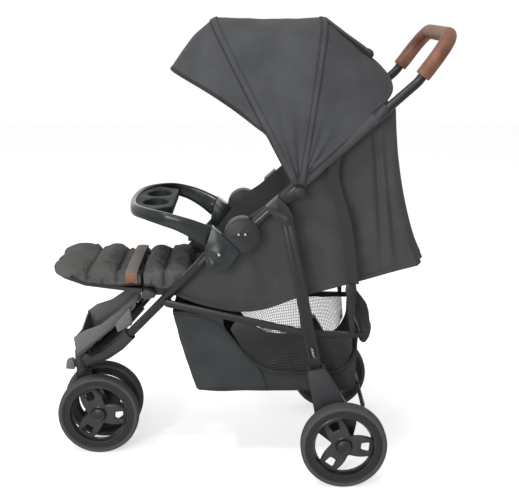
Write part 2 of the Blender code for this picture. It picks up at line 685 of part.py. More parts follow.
def footrest_ring(station, filled=False):
    """U-shaped ring of the scoop; a filled ring closes the scoop with its front rim."""
    (floor_y, floor_z), (top_y, top_z), half = station
    inner = half - FOOTREST_WALL
    rise = 0.92 if filled else FOOTREST_WALL / (top_z - floor_z)
    middle_drop = 0.012

    def at(x, share, drop=0.0):
        return spot(x, (floor_y + (top_y - floor_y) * share, floor_z + (top_z - floor_z) * share - drop))

    outer = [at(half, 1), at(half * 0.97, 0.25), at(half * 0.80, 0), at(0, 0, middle_drop),
             at(-half * 0.80, 0), at(-half * 0.97, 0.25), at(-half, 1)]
    shoulder = max(0.25, rise)
    inside = [at(-inner, 1), at(-inner * 0.97, shoulder), at(-inner * 0.80, rise), at(0, rise, middle_drop),
              at(inner * 0.80, rise), at(inner * 0.97, shoulder), at(inner, 1)]
    return outer + inside


def build_footrest():
    """Grey scoop between the front legs, seated on them by two saddles."""
    rings = [footrest_ring(station) for station in FOOTREST_STATIONS]
    (fy, fz), (ty, tz), half = FOOTREST_STATIONS[-1]
    for step in (0.002, 0.006):
        drop = step * 0.6
        rings.append(footrest_ring(((fy - step, fz - drop), (ty - step, tz - drop), half), filled=True))
    scoop = skin(rings)
    saddles = []
    for _, side in SIDES:
        outline = [(-0.500, 0.392), (-0.536, 0.352), (-0.530, 0.332), (-0.496, 0.350)]
        saddles.append(mirrored(prism(outline, 0.0985, 0.1130), side))
    legs = [bar(side_vector(leg_centre(0.3), side), side_vector(leg_centre(1.3), side), TUBE_RADIUS + GAP)
            for _, side in SIDES]
    crown = sweep(crown_path(), round_section(CROWN_RADIUS + GAP, 12), up=Vector((0, 1, 0)))
    assemble("footrest", "front_frame", FOOTREST_GREY, scoop, [merged(*saddles)], [merged(*legs), crown])


def build_caster():
    """Fork, swivel pin and axle of the twin front wheels."""
    fork_outline = hull(circle(FRONT_AXLE, 0.018, 20) + [(SWIVEL_Y - 0.017, FORK_TOP - 0.002),
                                                        (SWIVEL_Y + 0.017, FORK_TOP - 0.002),
                                                        (SWIVEL_Y - 0.016, 0.168)])
    fork = prism(fork_outline, -FORK_HALF_THICKNESS, FORK_HALF_THICKNESS)
    centre = Vector((0, SWIVEL_Y + REAR_AXLE_Y, 0))
    low = centre + Vector((0, 0, FORK_TOP - 0.008))
    flange = bar(low, centre + Vector((0, 0, SWIVEL_BOSS_Z[0] - GAP)), 0.017, 20)
    pin = bar(low, centre + Vector((0, 0, SWIVEL_PIN_TOP)), SWIVEL_PIN_RADIUS, 16)
    boss = disc(FRONT_AXLE, 0.011, -FORK_BOSS_HALF, FORK_BOSS_HALF, 16)
    bore = disc(FRONT_AXLE, FRONT_AXLE_RADIUS + GAP, -0.1, 0.1, 12)
    assemble("caster_fork", "caster", HOUSING_BLACK, fork, [flange, pin, boss], [bore])
    end = FRONT_WHEEL_X + FRONT_TYRE_WIDTH / 2 - HUB_CAP_THICKNESS - GAP
    make_object("front_axle", disc(FRONT_AXLE, FRONT_AXLE_RADIUS, -end, end, 12), "caster", BRIGHT_STEEL)
    y, z = LOCK_PLACE
    outline = [(y - 0.022, z - 0.010), (y - 0.001, z - 0.012), (y - GAP, z + 0.006), (y - 0.006, z + 0.014),
               (y - 0.020, z + 0.010)]
    knob = prism(outline, -0.012, 0.012)
    make_object("swivel_lock", knob, "lock_lever", FOOTREST_GREY)


# Wheels

def tyre_profile(width):
    """Closed section of a foam tyre, as (x offset, radius)."""
    half = width / 2
    left = [(-half + 0.0035, RIM_SEAT_RADIUS + GAP), (-half, RIM_SEAT_RADIUS + 0.004),
            (-half + 0.0025, WHEEL_RADIUS - 0.0040), (-half + 0.009, WHEEL_RADIUS)]
    return left + [(-dx, r) for dx, r in reversed(left)]


def rim_profile(width, hub_inside, axle_radius):
    """Section of a rim from the blind axle bore round to its outer cap, as (x offset, radius)."""
    half = width / 2
    side = half - 0.0035
    web = WEB_THICKNESS / 2
    bore = axle_radius + GAP
    return [(half - HUB_CAP_THICKNESS, bore), (-hub_inside, bore), (-hub_inside, WHEEL_HUB_RADIUS * 0.8),
            (-web, WHEEL_HUB_RADIUS), (-web, RIM_INNER_RADIUS), (-side, RIM_INNER_RADIUS + 0.004),
            (-side, RIM_SEAT_RADIUS), (side, RIM_SEAT_RADIUS), (side, RIM_INNER_RADIUS + 0.004),
            (web, RIM_INNER_RADIUS), (web, WHEEL_HUB_RADIUS),
            (half - 0.002, WHEEL_HUB_RADIUS), (half, WHEEL_HUB_RADIUS - 0.002)]


def polar(centre, radius, degrees):
    """Side-view point at a radius and an angle from a centre."""
    turn = math.radians(degrees)
    return centre[0] + radius * math.cos(turn), centre[1] + radius * math.sin(turn)


def spoke_openings(centre):
    """Cutters for the lens openings between spokes and the hole in each spoke."""
    shapes = []
    outer = RIM_INNER_RADIUS - 0.003
    for index in range(SPOKE_COUNT):
        spoke = SPOKE_ANGLE + 360.0 / SPOKE_COUNT * index
        middle = spoke + 180.0 / SPOKE_COUNT
        lens = [polar(centre, outer, middle + LENS_HALF_ANGLE * (k / 4 - 1)) for k in range(9)]
        for k in range(1, 6):
            share = 1 - k / 3
            radius = LENS_INNER_RADIUS + (outer - LENS_INNER_RADIUS) * abs(share) ** 1.6
            lens.append(polar(centre, radius, middle + LENS_HALF_ANGLE * share))
        shapes.append(lens)
        direction = unit((0, 0), polar((0, 0), 1, spoke))
        near, far = SPOKE_HOLE_RADIUS - SPOKE_HOLE_HEIGHT / 2, SPOKE_HOLE_RADIUS + SPOKE_HOLE_HEIGHT / 2
        half = SPOKE_HOLE_WIDTH / 2
        hole = [along(centre, direction, r, w) for r, w in
                ((near, half * 0.55), (near + 0.003, half * 0.72), (far - 0.003, half), (far, half * 0.8),
                 (far, -half * 0.8), (far - 0.003, -half), (near + 0.003, -half * 0.72), (near, -half * 0.55))]
        shapes.append(hole)
    return shapes


def build_wheel(label, axle, x, side, width, hub_inside, axle_radius, count=28):
    """Tyre and rim of one wheel, which stands on a flat and not on a corner of its polygon."""
    centre = (x, axle[0], axle[1])
    corner = 1 / math.cos(math.pi / count)
    tyre = lathe([(dx, r * corner) for dx, r in tyre_profile(width)], centre, side, count, loop=True)
    make_object(label.replace("wheel", "tyre"), tyre, label, TYRE_FOAM)
    profile = [(dx, r * corner) for dx, r in rim_profile(width, hub_inside, axle_radius)]
    rim = lathe(profile, centre, side, count)
    cutters = [prism(outline, side * x - width, side * x + width) for outline in spoke_openings(axle)]
    assemble(label.replace("wheel", "rim"), label, RIM_BLACK, rim, cut=[merged(*cutters)])


def build_wheels():
    """Two rear wheels and the twin front wheels."""
    for name, side in SIDES:
        build_wheel(f"rear_wheel_{name}", REAR_AXLE, REAR_WHEEL_X, side, REAR_TYRE_WIDTH,
                    REAR_WHEEL_X - FOOT_X[1] - GAP, REAR_AXLE_RADIUS)
        build_wheel(f"front_wheel_{name}", FRONT_AXLE, FRONT_WHEEL_X, side, FRONT_TYRE_WIDTH,
                    FRONT_WHEEL_X - FORK_BOSS_HALF - GAP, FRONT_AXLE_RADIUS)


# Rear frame

REAR_LEG_LENGTH = (REAR_LEG_PIVOT[1] - REAR_LEG_END_Z) / -REAR_LEG_DIRECTION[1]
WINDOW_DISTANCE = 0.322
WINDOW_HALF_LENGTH = 0.013
WINDOW_HALF_WIDTH = 0.0065
SPRING_WIRE = 0.0009
SPRING_COIL_RADIUS = 0.0046
SPRING_TURNS = 6


def rear_leg_outline(extra=0.0):
    """Flat rear leg, round at its pivot; extra gives the socket's clearance."""
    half = REAR_LEG_HALF_WIDTH + extra
    outline = circle(REAR_LEG_PIVOT, half, 24)
    for offset in (-half, half):
        outline.append(along(REAR_LEG_PIVOT, REAR_LEG_DIRECTION, REAR_LEG_LENGTH + extra, offset))
    return hull(outline)


def window_outline():
    """Slot in the rear leg that shows the suspension spring."""
    half, wide = WINDOW_HALF_LENGTH, WINDOW_HALF_WIDTH
    return [along(REAR_LEG_PIVOT, REAR_LEG_DIRECTION, WINDOW_DISTANCE + t, n) for t, n in
            ((-half, -wide * 0.6), (-half, wide * 0.6), (-half * 0.8, wide), (half * 0.8, wide),
             (half, wide * 0.6), (half, -wide * 0.6), (half * 0.8, -wide), (-half * 0.8, -wide))]


def spring_path(side):
    """Helix of the suspension spring inside the leg's window."""
    middle = (REAR_LEG_X[0] + REAR_LEG_X[1]) / 2
    reach = WINDOW_HALF_LENGTH - SPRING_WIRE - GAP
    start = spot(side * middle, along(REAR_LEG_PIVOT, REAR_LEG_DIRECTION, WINDOW_DISTANCE - reach))
    end = spot(side * middle, along(REAR_LEG_PIVOT, REAR_LEG_DIRECTION, WINDOW_DISTANCE + reach))
    across = Vector((1, 0, 0))
    other = (end - start).normalized().cross(across)
    path = []
    steps = SPRING_TURNS * 8
    for step in range(steps + 1):
        turn = 2 * math.pi * step / 8
        path.append(start.lerp(end, step / steps) + across * SPRING_COIL_RADIUS * math.cos(turn)
                    + other * SPRING_COIL_RADIUS * math.sin(turn))
    return path


BRAKE_PIVOT = (0.022, 0.142)


def foot_outline():
    """Moulded foot from the leg's socket down round the axle."""
    distance = (REAR_LEG_PIVOT[1] - FOOT_TOP_Z) / -REAR_LEG_DIRECTION[1]
    top = [along(REAR_LEG_PIVOT, REAR_LEG_DIRECTION, distance, offset) for offset in (-0.0205, 0.0205)]
    rounds = circle(REAR_AXLE, 0.023, 24) + circle(BRAKE_PIVOT, 0.010, 12)
    return hull(top + [(-0.070, 0.190), (-0.058, 0.118)] + rounds)


def build_rear_frame():
    """Rear legs, their feet, springs, axle and brake bar."""
    for name, side in SIDES:
        leg = mirrored(prism(rear_leg_outline(), *REAR_LEG_X), side)
        low, high = REAR_LEG_X[0] - 0.01, REAR_LEG_X[1] + 0.01
        hole = mirrored(disc(REAR_LEG_PIVOT, PIN_RADIUS + PIN_PLAY, low, high, 12), side)
        window = mirrored(prism(window_outline(), low, high), side)
        assemble(f"rear_leg_{name}", "rear_frame", FRAME_BLACK, leg, cut=[merged(hole, window)])
        spring = sweep(spring_path(side), round_section(SPRING_WIRE, 5), up=Vector((0, 1, 0)))
        make_object(f"rear_spring_{name}", spring, "rear_frame", BRIGHT_STEEL)
        foot = mirrored(prism(foot_outline(), *FOOT_X), side)
        socket = mirrored(prism(rear_leg_outline(GAP), REAR_LEG_X[0] - GAP, REAR_LEG_X[1] + GAP), side)
        bore = mirrored(disc(REAR_AXLE, REAR_AXLE_RADIUS + GAP, FOOT_X[0] - 0.01, FOOT_X[1] + 0.01, 12), side)
        brake_hole = disc(BRAKE_PIVOT, PIN_RADIUS + GAP, FOOT_X[0] - 0.01, FOOT_X[0] + 0.012, 12)
        assemble(f"rear_foot_{name}", "rear_frame", HOUSING_BLACK, foot, cut=[socket, merged(bore, mirrored(brake_hole, side))])
    end = REAR_WHEEL_X + REAR_TYRE_WIDTH / 2 - HUB_CAP_THICKNESS - GAP
    inner = FOOT_X[0] - GAP
    profile = [(-end, REAR_AXLE_RADIUS), (-inner, REAR_AXLE_RADIUS), (-inner, REAR_AXLE_TUBE_RADIUS),
               (inner, REAR_AXLE_TUBE_RADIUS), (inner, REAR_AXLE_RADIUS), (end, REAR_AXLE_RADIUS)]
    make_object("rear_axle", lathe(profile, (0, *REAR_AXLE), count=12), "rear_frame", FRAME_BLACK)
    pin_end = FOOT_X[0] + 0.011
    arm_x = FOOT_X[0] - 0.008
    rod = rounded([spot(arm_x, BRAKE_PIVOT), spot(arm_x, (0.052, 0.166)), spot(-arm_x, (0.052, 0.166)),
                   spot(-arm_x, BRAKE_PIVOT)], [0.012, 0.012], steps=4)
    pins = [mirrored(disc(BRAKE_PIVOT, PIN_RADIUS, arm_x - 0.002, pin_end, 12), side) for _, side in SIDES]
    pedal = prism([(0.046, 0.170), (0.056, 0.172), (0.074, 0.094), (0.066, 0.092)], -0.030, 0.030)
    assemble("brake_bar", "brake", HOUSING_BLACK, sweep(rod, round_section(0.0045, 10)), [merged(*pins), pedal])


# Side rails, struts and basket

def build_rails():
    """Frame that carries the basket: a rail on each side joined by a rim behind."""
    low, high = RAIL_X
    for name, side in SIDES:
        outline = hull(circle(RAIL_FRONT, 0.0085, 16) + circle(RAIL_REAR, 0.0075, 16))
        tail = hull(circle(RAIL_REAR, 0.0075, 16) + circle((RAIL_END[0] - 0.012, RAIL_END[1]), 0.0060, 12))
        rail = mirrored(prism(outline, low, high), side)
        spacer = mirrored(disc(RAIL_REAR, 0.0065, high - 0.001, REAR_LEG_X[0] - GAP, 12), side)
        strut = [(0.016, RAIL_END[1]), (0.025, RAIL_END[1]), (0.026, 0.430), (0.029, 0.452),
                 (0.027, STRAP_FOOT_Z - GAP), (0.005, STRAP_FOOT_Z - GAP), (0.003, 0.452), (0.007, 0.430)]
        post = mirrored(prism(strut, high - 0.002, TUBE_X), side)
        assemble(f"side_rail_{name}", "side_rails", FRAME_BLACK, rail,
                 [mirrored(prism(tail, low, high), side), spacer, post])
    rim_x = low - GAP
    rim_place = (RAIL_END[0] - 0.016, RAIL_END[1])
    rim = bar(spot(rim_x, rim_place), spot(-rim_x, rim_place), 0.0055, 12)
    make_object("basket_rim", rim, "side_rails", FRAME_BLACK)


BASKET_STATIONS = ((-0.338, -0.396, 0.392), (-0.300, -0.345, 0.385), (-0.262, -0.290, 0.360),
                   (-0.225, -0.235, 0.290), (-0.175, -0.178, 0.250), (-0.120, -0.120, 0.243),
                   (-0.060, -0.060, 0.243), (0.000, 0.000, 0.250), (0.026, 0.034, 0.290), (0.032, 0.04016, 0.343))


def basket_ring(station, solid):
    """U-shaped ring of the basket's cloth; a solid ring is part of its front or rear wall."""
    low_y, high_y, rim = station
    half, wall, corner = BASKET_HALF_WIDTH, BASKET_WALL, 0.020

    def at(x, z):
        share = (z - BASKET_FLOOR_Z) / (BASKET_STATIONS[0][2] - BASKET_FLOOR_Z)
        return spot(x, (low_y + (high_y - low_y) * share, z))

    def trough(width, floor):
        half = [(width, rim), (width, floor + corner), (width - corner * 0.3, floor + corner * 0.3),
                (width - corner, floor)]
        return [at(x, z) for x, z in half] + [at(-x, z) for x, z in reversed(half)]

    outer = trough(half, BASKET_FLOOR_Z)
    inner = trough(half - wall, BASKET_FLOOR_Z + wall)
    if solid:
        inner = [at(point.x, rim - 0.0003 * min(index, 7 - index)) for index, point in enumerate(inner)]
    return outer + list(reversed(inner))


def build_basket():
    """Cloth basket: a trough of thin cloth with a wall at each end."""
    wall = BASKET_WALL

    def moved(station, shift):
        return station[0] + shift, station[1] + shift, station[2]

    first, last = BASKET_STATIONS[0], BASKET_STATIONS[-1]
    past = wall + 0.0005
    rings = [basket_ring(first, True), basket_ring(moved(first, wall), True)]
    rings += [basket_ring(moved(first, past), False)]
    rings += [basket_ring(station, False) for station in BASKET_STATIONS[1:-1]]
    rings += [basket_ring(moved(last, -past), False)]
    rings += [basket_ring(moved(last, -wall), True), basket_ring(last, True)]
    make_object("basket", skin(rings), "side_rails", BASKET_CLOTH)


# Seat, backrest and leg rest

def build_seat():
    """Seat board with the leg rest's hinge lugs, and the quilted seat pad with two rolls."""
    low, high = SEAT_PAN_Z
    front, back = SEAT_PAN_Y
    pan = prism([(front, low), (back, low), (back, high), (front, high)], -SEAT_HALF_WIDTH, SEAT_HALF_WIDTH)
    lugs = []
    lug_low, lug_high = LEGREST_LUG_X
    for _, side in SIDES:
        root = [(front + 0.008, low + 0.001), (front + 0.008, high - 0.001)]
        ear = hull(circle(LEGREST_PIVOT, 0.0115, 16) + root)
        lugs.append(mirrored(prism(ear, lug_low, lug_high), side))
    pins = [mirrored(disc(LEGREST_PIVOT, PIN_RADIUS, lug_low - 0.010, lug_low + 0.004, 12), side)
            for _, side in SIDES]
    hinge_low, hinge_high = RECLINE_LUG_X
    for _, side in SIDES:
        root = [(back - 0.008, low + 0.001), (back - 0.008, high - 0.001)]
        ear = hull(circle(RECLINE_PIVOT, 0.0085, 16) + root)
        lugs.append(mirrored(prism(ear, hinge_low, hinge_high), side))
        pins.append(mirrored(disc(RECLINE_PIVOT, PIN_RADIUS, hinge_low - 0.010, hinge_low + 0.002, 12), side))
    notch = disc(LEGREST_PIVOT, LEGREST_BARREL + 0.002, -lug_low, lug_low, 16)
    assemble("seat_board", "upper_frame", HOUSING_BLACK, pan, [merged(*lugs)], [notch], [merged(*pins)])


def roll_profile(stretches, bottom, crown=1.0):
    """Side profile of a quilted pad: one arch for each (start, end, base, top) roll, closed below."""
    points = []
    for start, end, base, top in stretches:
        for step in range(6):
            share = step / 6
            height = (top - base) * crown * math.sin(math.pi * min(max(share, 0.04), 0.96)) ** 0.45
            points.append((start + (end - start) * share, base + height))
    last = stretches[-1]
    points.append((last[1], last[2]))
    return points + [(y, z) for y, z in bottom]


def quilted(stretches, bottom, half_width, stations):
    """Quilted pad lofted across X, its rolls drawn in towards both ends."""
    rings = []
    for index in range(stations):
        share = 2 * index / (stations - 1) - 1
        fullness = (1 - abs(share) ** 3.5) ** 0.5
        crown = 0.25 + 0.75 * fullness
        x = half_width * share
        rings.append([spot(x, point) for point in roll_profile(stretches, bottom, crown)])
    return skin(rings)


def build_seat_pad():
    """Seat cushion: rolls three and four at the front and a flat quilted stretch behind."""
    base = SEAT_PAN_Z[1] + GAP
    rolls = ((-0.4665, -0.414, base + 0.030, PAD_ROLL_TOP), (-0.414, -0.352, base + 0.034, PAD_ROLL_TOP),
             (-0.352, -0.282, base + 0.022, 0.476), (-0.282, -0.212, base + 0.018, 0.470))
    bottom = [(-0.208, base), (-0.300, base), (-0.4330, base), (-0.4390, 0.4485), (-0.4640, 0.4485)]
    make_object("seat_pad", quilted(rolls, bottom, SEAT_PAD_HALF_WIDTH, 9), "upper_frame", PAD_CLOTH)


def build_legrest():
    """Leg rest: a board on a hinge barrel, a quilted pad with rolls one and two, and its ladder strap."""
    y, z = LEGREST_PIVOT
    tip = LEGREST_TIP + 0.012
    outline = [(y - 0.006, z + 0.0065), (y - 0.004, z - 0.004), (y - 0.090, z + 0.008), (y - 0.145, z + 0.015),
               (tip, z + 0.031), (tip - 0.002, z + 0.037), (y - 0.145, z + 0.0225), (y - 0.090, z + 0.0155)]
    board = prism(outline, -SEAT_HALF_WIDTH + 0.002, SEAT_HALF_WIDTH - 0.002)
    inner = LEGREST_LUG_X[0] - GAP
    barrel = disc(LEGREST_PIVOT, LEGREST_BARREL, -inner, inner, 16)
    lug_room = [mirrored(disc(LEGREST_PIVOT, 0.0135, inner, 0.2, 16), side) for _, side in SIDES]
    bores = [mirrored(disc(LEGREST_PIVOT, PIN_RADIUS + GAP, inner - 0.011, inner + 0.01, 12), side)
             for _, side in SIDES]
    assemble("legrest_board", "legrest", HOUSING_BLACK, board, [barrel], [merged(*lug_room), merged(*bores)])
    lift = GAP
    rolls = ((LEGREST_TIP, -0.592, 0.482, 0.503), (-0.592, -0.524, 0.472, 0.504),
             (-0.524, -0.470, 0.474, 0.488))
    bottom = [(-0.4695, z + 0.0185 + lift), (y - 0.090, z + 0.0155 + lift), (y - 0.145, z + 0.0225 + lift),
              (tip, z + 0.0366 + lift), (LEGREST_TIP - 0.001, z + 0.040)]
    make_object("legrest_pad", quilted(rolls, bottom, LEGREST_PAD_HALF_WIDTH, 9), "legrest", PAD_CLOTH)


def build_backrest():
    """Reclining backrest: a stiff board, a channelled pad and two shoulder belts."""
    def at(distance, height):
        return along(RECLINE_PIVOT, RECLINE_DIRECTION, distance, -height)

    board = prism([at(0.004, -0.002), at(BACKREST_LENGTH, -0.002), at(BACKREST_LENGTH, BACKREST_BOARD - 0.002),
                   at(0.012, BACKREST_BOARD - 0.002)], -BACKREST_HALF_WIDTH, BACKREST_HALF_WIDTH)
    inner = RECLINE_LUG_X[0] - GAP
    barrel = disc(RECLINE_PIVOT, RECLINE_BARREL, -inner, inner, 16)
    bores = [mirrored(disc(RECLINE_PIVOT, PIN_RADIUS + GAP, inner - 0.011, inner + 0.01, 12), side)
             for _, side in SIDES]
    assemble("backrest_board", "backrest", HOUSING_BLACK, board, [barrel], [merged(*bores)])
    low = BACKREST_BOARD - 0.002 + GAP
    count = 4
    length = (BACKREST_LENGTH - 0.034) / count
    rings = []
    for index in range(9):
        share = 2 * index / 8 - 1
        crown = 0.35 + 0.65 * (1 - abs(share) ** 3.5) ** 0.5
        ring = []
        for roll in range(count):
            for step in range(6):
                s = step / 6
                rise = math.sin(math.pi * min(max(s, 0.05), 1)) ** 0.5
                height = 0.014 + (BACKREST_PAD - 0.014) * crown * rise
                ring.append(at(0.034 + length * (roll + s), low + height))
        ring += [at(BACKREST_LENGTH, low + 0.010), at(BACKREST_LENGTH - 0.002, low)]
        ring += [at(0.030, low), at(0.030, low + 0.008)]
        rings.append([spot(BACKREST_HALF_WIDTH * share, point) for point in ring])
    make_object("backrest_pad", skin(rings), "backrest", PAD_CLOTH)
    for name, side in SIDES:
        face = low + BACKREST_PAD + GAP
        strap = [at(0.060, face), at(0.290, face), at(0.290, face + 0.002), at(0.060, face + 0.002)]
        belt = prism(strap, BELT_X - BELT_WIDTH / 2, BELT_X + BELT_WIDTH / 2)
        make_object(f"shoulder_belt_{name}", mirrored(belt, side), "backrest", WEBBING)


def build_harness():
    """Crotch strap standing from the seat pad, with the harness buckle on it."""
    strap = prism([(-0.350, 0.4692), (-0.346, 0.4707), (-0.352, 0.530), (-0.356, 0.530)], -0.012, 0.012)
    make_object("crotch_strap", strap, "upper_frame", WEBBING)
    outline = [(-0.366, 0.5305), (-0.342, 0.5305), (-0.346, 0.568), (-0.352, 0.574), (-0.364, 0.570)]
    buckle = prism(outline, -0.022, 0.022)
    make_object("harness_buckle", buckle, "upper_frame", HOUSING_BLACK)


# Side and back cloth

PANEL_COLUMNS = (((-0.403, 0.4440), (-0.372, 0.474), (-0.345, 0.500)),
                 ((-0.330, 0.427), (-0.315, 0.479), (-0.300, 0.530)),
                 ((-0.250, 0.413), (-0.247, 0.507), (-0.241, 0.604)),
                 ((-0.180, 0.401), (-0.179, 0.524), (-0.183, 0.6465)),
                 ((-0.103, 0.398), (-0.107, 0.550), (-0.1166, 0.705)),
                 ((-0.030, 0.417), (-0.037, 0.590), (-0.0513, 0.763)),
                 ((0.050, 0.456), (0.036, 0.638), (0.0145, 0.821)),
                 ((0.115, 0.484), (0.085, 0.665), (0.064, 0.860)),
                 ((0.168, 0.508), (0.124, 0.660), (0.106, 0.862)))
PANEL_FRONT_HEM_X = 0.1338
PANEL_HEM_X = 0.1430
PANEL_TOP_X = HUB_X[0] - GAP
PANEL_CLOTH = 0.003


def bend3(points, share):
    """Smooth curve through three points."""
    a = 2 * (share - 0.5) * (share - 1)
    b = 4 * share * (1 - share)
    c = 2 * share * (share - 0.5)
    return tuple(points[0][i] * a + points[1][i] * b + points[2][i] * c for i in range(2))


def build_side_panels():
    """Cloth sides of the seat, hung from the handle tube, with soft folds towards the back."""
    rows = 7
    for name, side in SIDES:
        rings = []
        for index, column in enumerate(PANEL_COLUMNS):
            run = index / (len(PANEL_COLUMNS) - 1)
            outer, inner = [], []
            for row in range(rows):
                share = row / (rows - 1)
                fold = 0.0045 * math.sin(5.5 * math.pi * run) * math.sin(math.pi * share) * (0.3 + run)
                hem = PANEL_FRONT_HEM_X if index == 0 else PANEL_HEM_X
                x = hem + (PANEL_TOP_X - hem) * share ** 0.8 + abs(fold)
                outer.append(spot(x, bend3(column, share)))
                inner.append(spot(x - PANEL_CLOTH, bend3(column, share)))
            rings.append(outer + list(reversed(inner)))
        make_object(f"side_panel_{name}", mirrored(skin(rings), side), "upper_frame", SHELL_CLOTH)


def build_back_curtain():
    """Cloth back between the side panels, bulging a little to the rear with two soft folds."""
    column = PANEL_COLUMNS[-1]
    rows, across = 7, 13
    rings = []
    for step in range(across):
        share_x = 2 * step / (across - 1) - 1
        outer, inner = [], []
        for row in range(rows):
            share = row / (rows - 1)
            width = PANEL_HEM_X + (PANEL_TOP_X - PANEL_HEM_X) * share ** 0.8
            y, z = bend3(column, share)
            bulge = (1 - share_x ** 2) * (0.022 * (1 - 0.6 * share) + 0.004 * math.cos(5 * math.pi * share_x))
            outer.append(spot(width * share_x, (y + PANEL_CLOTH + 0.0006 + bulge, z)))
            inner.append(spot(width * share_x, (y + 0.0006 + bulge, z)))
        rings.append(outer + list(reversed(inner)))
    make_object("back_curtain", skin(rings), "upper_frame", SHELL_CLOTH)


STRAP_TUBE_DISTANCE = 0.298
STRAP_FOOT_Z = 0.468


def build_straps():
    """Webbing that holds each side of the backrest's bag to the handle tube, and its clip."""
    for name, side in SIDES:
        below = TUBE_RADIUS + 0.001
        top = [along(HUB, TUBE_DIRECTION, STRAP_TUBE_DISTANCE + shift, below) for shift in (0.014, -0.014)]
        outline = [(0.005, STRAP_FOOT_Z), (0.027, STRAP_FOOT_Z), (0.004, 0.600), (-0.001, 0.724), *top,
                   (-0.023, 0.724), (-0.018, 0.600)]
        strap = mirrored(prism(outline, TUBE_X - 0.0008, TUBE_X + 0.0008), side)
        bore = bar(spot(side * TUBE_X, HUB), spot(side * TUBE_X, TUBE_BEND), TUBE_RADIUS + GAP)
        assemble(f"side_strap_{name}", "upper_frame", WEBBING, strap, cut=[bore])
        start, end = (along(HUB, TUBE_DIRECTION, d) for d in (0.395, 0.428))
        line = [spot(side * TUBE_X, start), spot(side * TUBE_X, end)]
        collar = sweep(line, round_section(TUBE_RADIUS + 0.004, 14), inner=round_section(TUBE_RADIUS + GAP, 14))
        make_object(f"canopy_clip_{name}", collar, "upper_frame", HOUSING_BLACK)


# Canopy

def arch(angle, length, width, turn):
    """Point of a bow: turn runs from 0 at the near hinge to pi at the far one."""
    across = math.copysign(abs(math.cos(turn)) ** (2 / ARCH_POWER), math.cos(turn)) * width
    rise = abs(math.sin(turn)) ** (2 / ARCH_POWER) * length
    return spot(across, polar(CANOPY_HINGE, rise, angle))


def arch_turns(start, count=21):
    """Even turns of an arch between start and pi - start."""
    return [start + (math.pi - 2 * start) * index / (count - 1) for index in range(count)]


def bow(name, body, angle, length, eye_low):
    """Flat spring-steel bow with an eye at each hinge."""
    outer_width = eye_low + BOW_THICKNESS
    rings = []
    edges = band_offsets(angle)
    for turn in arch_turns(0.0025, 27):
        outside = [arch(angle, length, outer_width, turn) + shift for shift in edges]
        inside = [arch(angle, length - BOW_THICKNESS, eye_low, turn) + shift for shift in reversed(edges)]
        rings.append(outside + inside)
    eyes = [mirrored(disc(CANOPY_HINGE, 0.0095, eye_low, outer_width, 16), side) for _, side in SIDES]
    holes = [mirrored(disc(CANOPY_HINGE, PIN_RADIUS + PIN_PLAY, eye_low - 0.01, outer_width + 0.01, 12), side)
             for _, side in SIDES]
    assemble(name, body, FRAME_BLACK, skin(rings), [merged(*eyes)], [merged(*holes)])


def band_offsets(angle):
    """Two offsets square to a bow's plane, half its width each way."""
    turn = math.radians(angle)
    way = Vector((0, -math.sin(turn), math.cos(turn))) * (BOW_WIDTH / 2)
    return [way, -way]


def cloth_between(name, body, first, second, start, rows=4, bulge=0.0, count=21):
    """Canopy cloth lofted between two arches; first and second give points for a turn and an inset."""
    rings = []
    for turn in arch_turns(start, count):
        outer, inner = [], []
        for row in range(rows):
            share = row / (rows - 1)
            swell = bulge * math.sin(math.pi * share) * math.sin(turn)
            for inset, line in ((0.0, outer), (CANOPY_CLOTH, inner)):
                point = first(turn, inset).lerp(second(turn, inset), share)
                away = (point - spot(point.x, CANOPY_HINGE)).normalized()
                line.append(point + away * swell)
        rings.append(outer + list(reversed(inner)))
    make_object(name, skin(rings), body, SHELL_CLOTH)


def bow_edge(angle, length, offset):
    """Arch of cloth beside a bow, at a constant offset from the bow's plane."""
    turn = math.radians(angle)
    way = Vector((0, -math.sin(turn), math.cos(turn))) * offset

    def point(at_turn, inset):
        return arch(angle, length - inset, CANOPY_HALF_WIDTH - inset, at_turn) + way

    return point


def visor_edge(turn, inset):
    """Leading edge of the visor, which reaches furthest forward over the top."""
    rise = abs(math.sin(turn)) ** (2 / ARCH_POWER)
    blend = min(max((rise - 0.34) / 0.46, 0.0), 1.0)
    blend = blend * blend * (3 - 2 * blend)
    reach = 3.2 + (VISOR_REACH - 3.2) * blend
    length = BOW_FRONT_LENGTH + (VISOR_LENGTH - BOW_FRONT_LENGTH) * blend
    return arch(BOW_FRONT_ANGLE + reach, length - inset, CANOPY_HALF_WIDTH - inset, turn)


def rear_edge(turn, inset):
    """Lower edge of the canopy's back: along the handle tube at the sides, up across the top."""
    rise = abs(math.sin(turn)) ** (2 / ARCH_POWER)
    radius = max(rise * REAR_EDGE_LENGTH, 0.001)
    slope = math.degrees(math.atan2(TUBE_DIRECTION[1], TUBE_DIRECTION[0]))
    tube_side = slope + math.degrees(math.asin(min(0.45, (TUBE_RADIUS * 2 + 0.006) / radius)))
    angle = tube_side + (REAR_EDGE_ANGLE - tube_side) * rise ** 6
    return arch(angle, REAR_EDGE_LENGTH - inset, CANOPY_HALF_WIDTH - inset, turn)


FLAP_START_TURN = 1.331
FLAP_SEAM = 0.004
FLAP_HINGE = along(polar(CANOPY_HINGE, BOW_REAR_LENGTH + GAP, BOW_REAR_ANGLE), unit((0, 0), (1, -0.158)),
                   BOW_WIDTH / 2 + GAP + FLAP_SEAM)
FLAP_FREE_LENGTH = 0.3419
FLAP_FREE_ANGLE = 59.8


def flap_edge(turn, inset):
    """Free edge of the window flap, which stands off the canopy's back a little."""
    lift = CANOPY_CLOTH + GAP - inset
    return arch(FLAP_FREE_ANGLE, FLAP_FREE_LENGTH + lift, CANOPY_HALF_WIDTH + lift, turn)


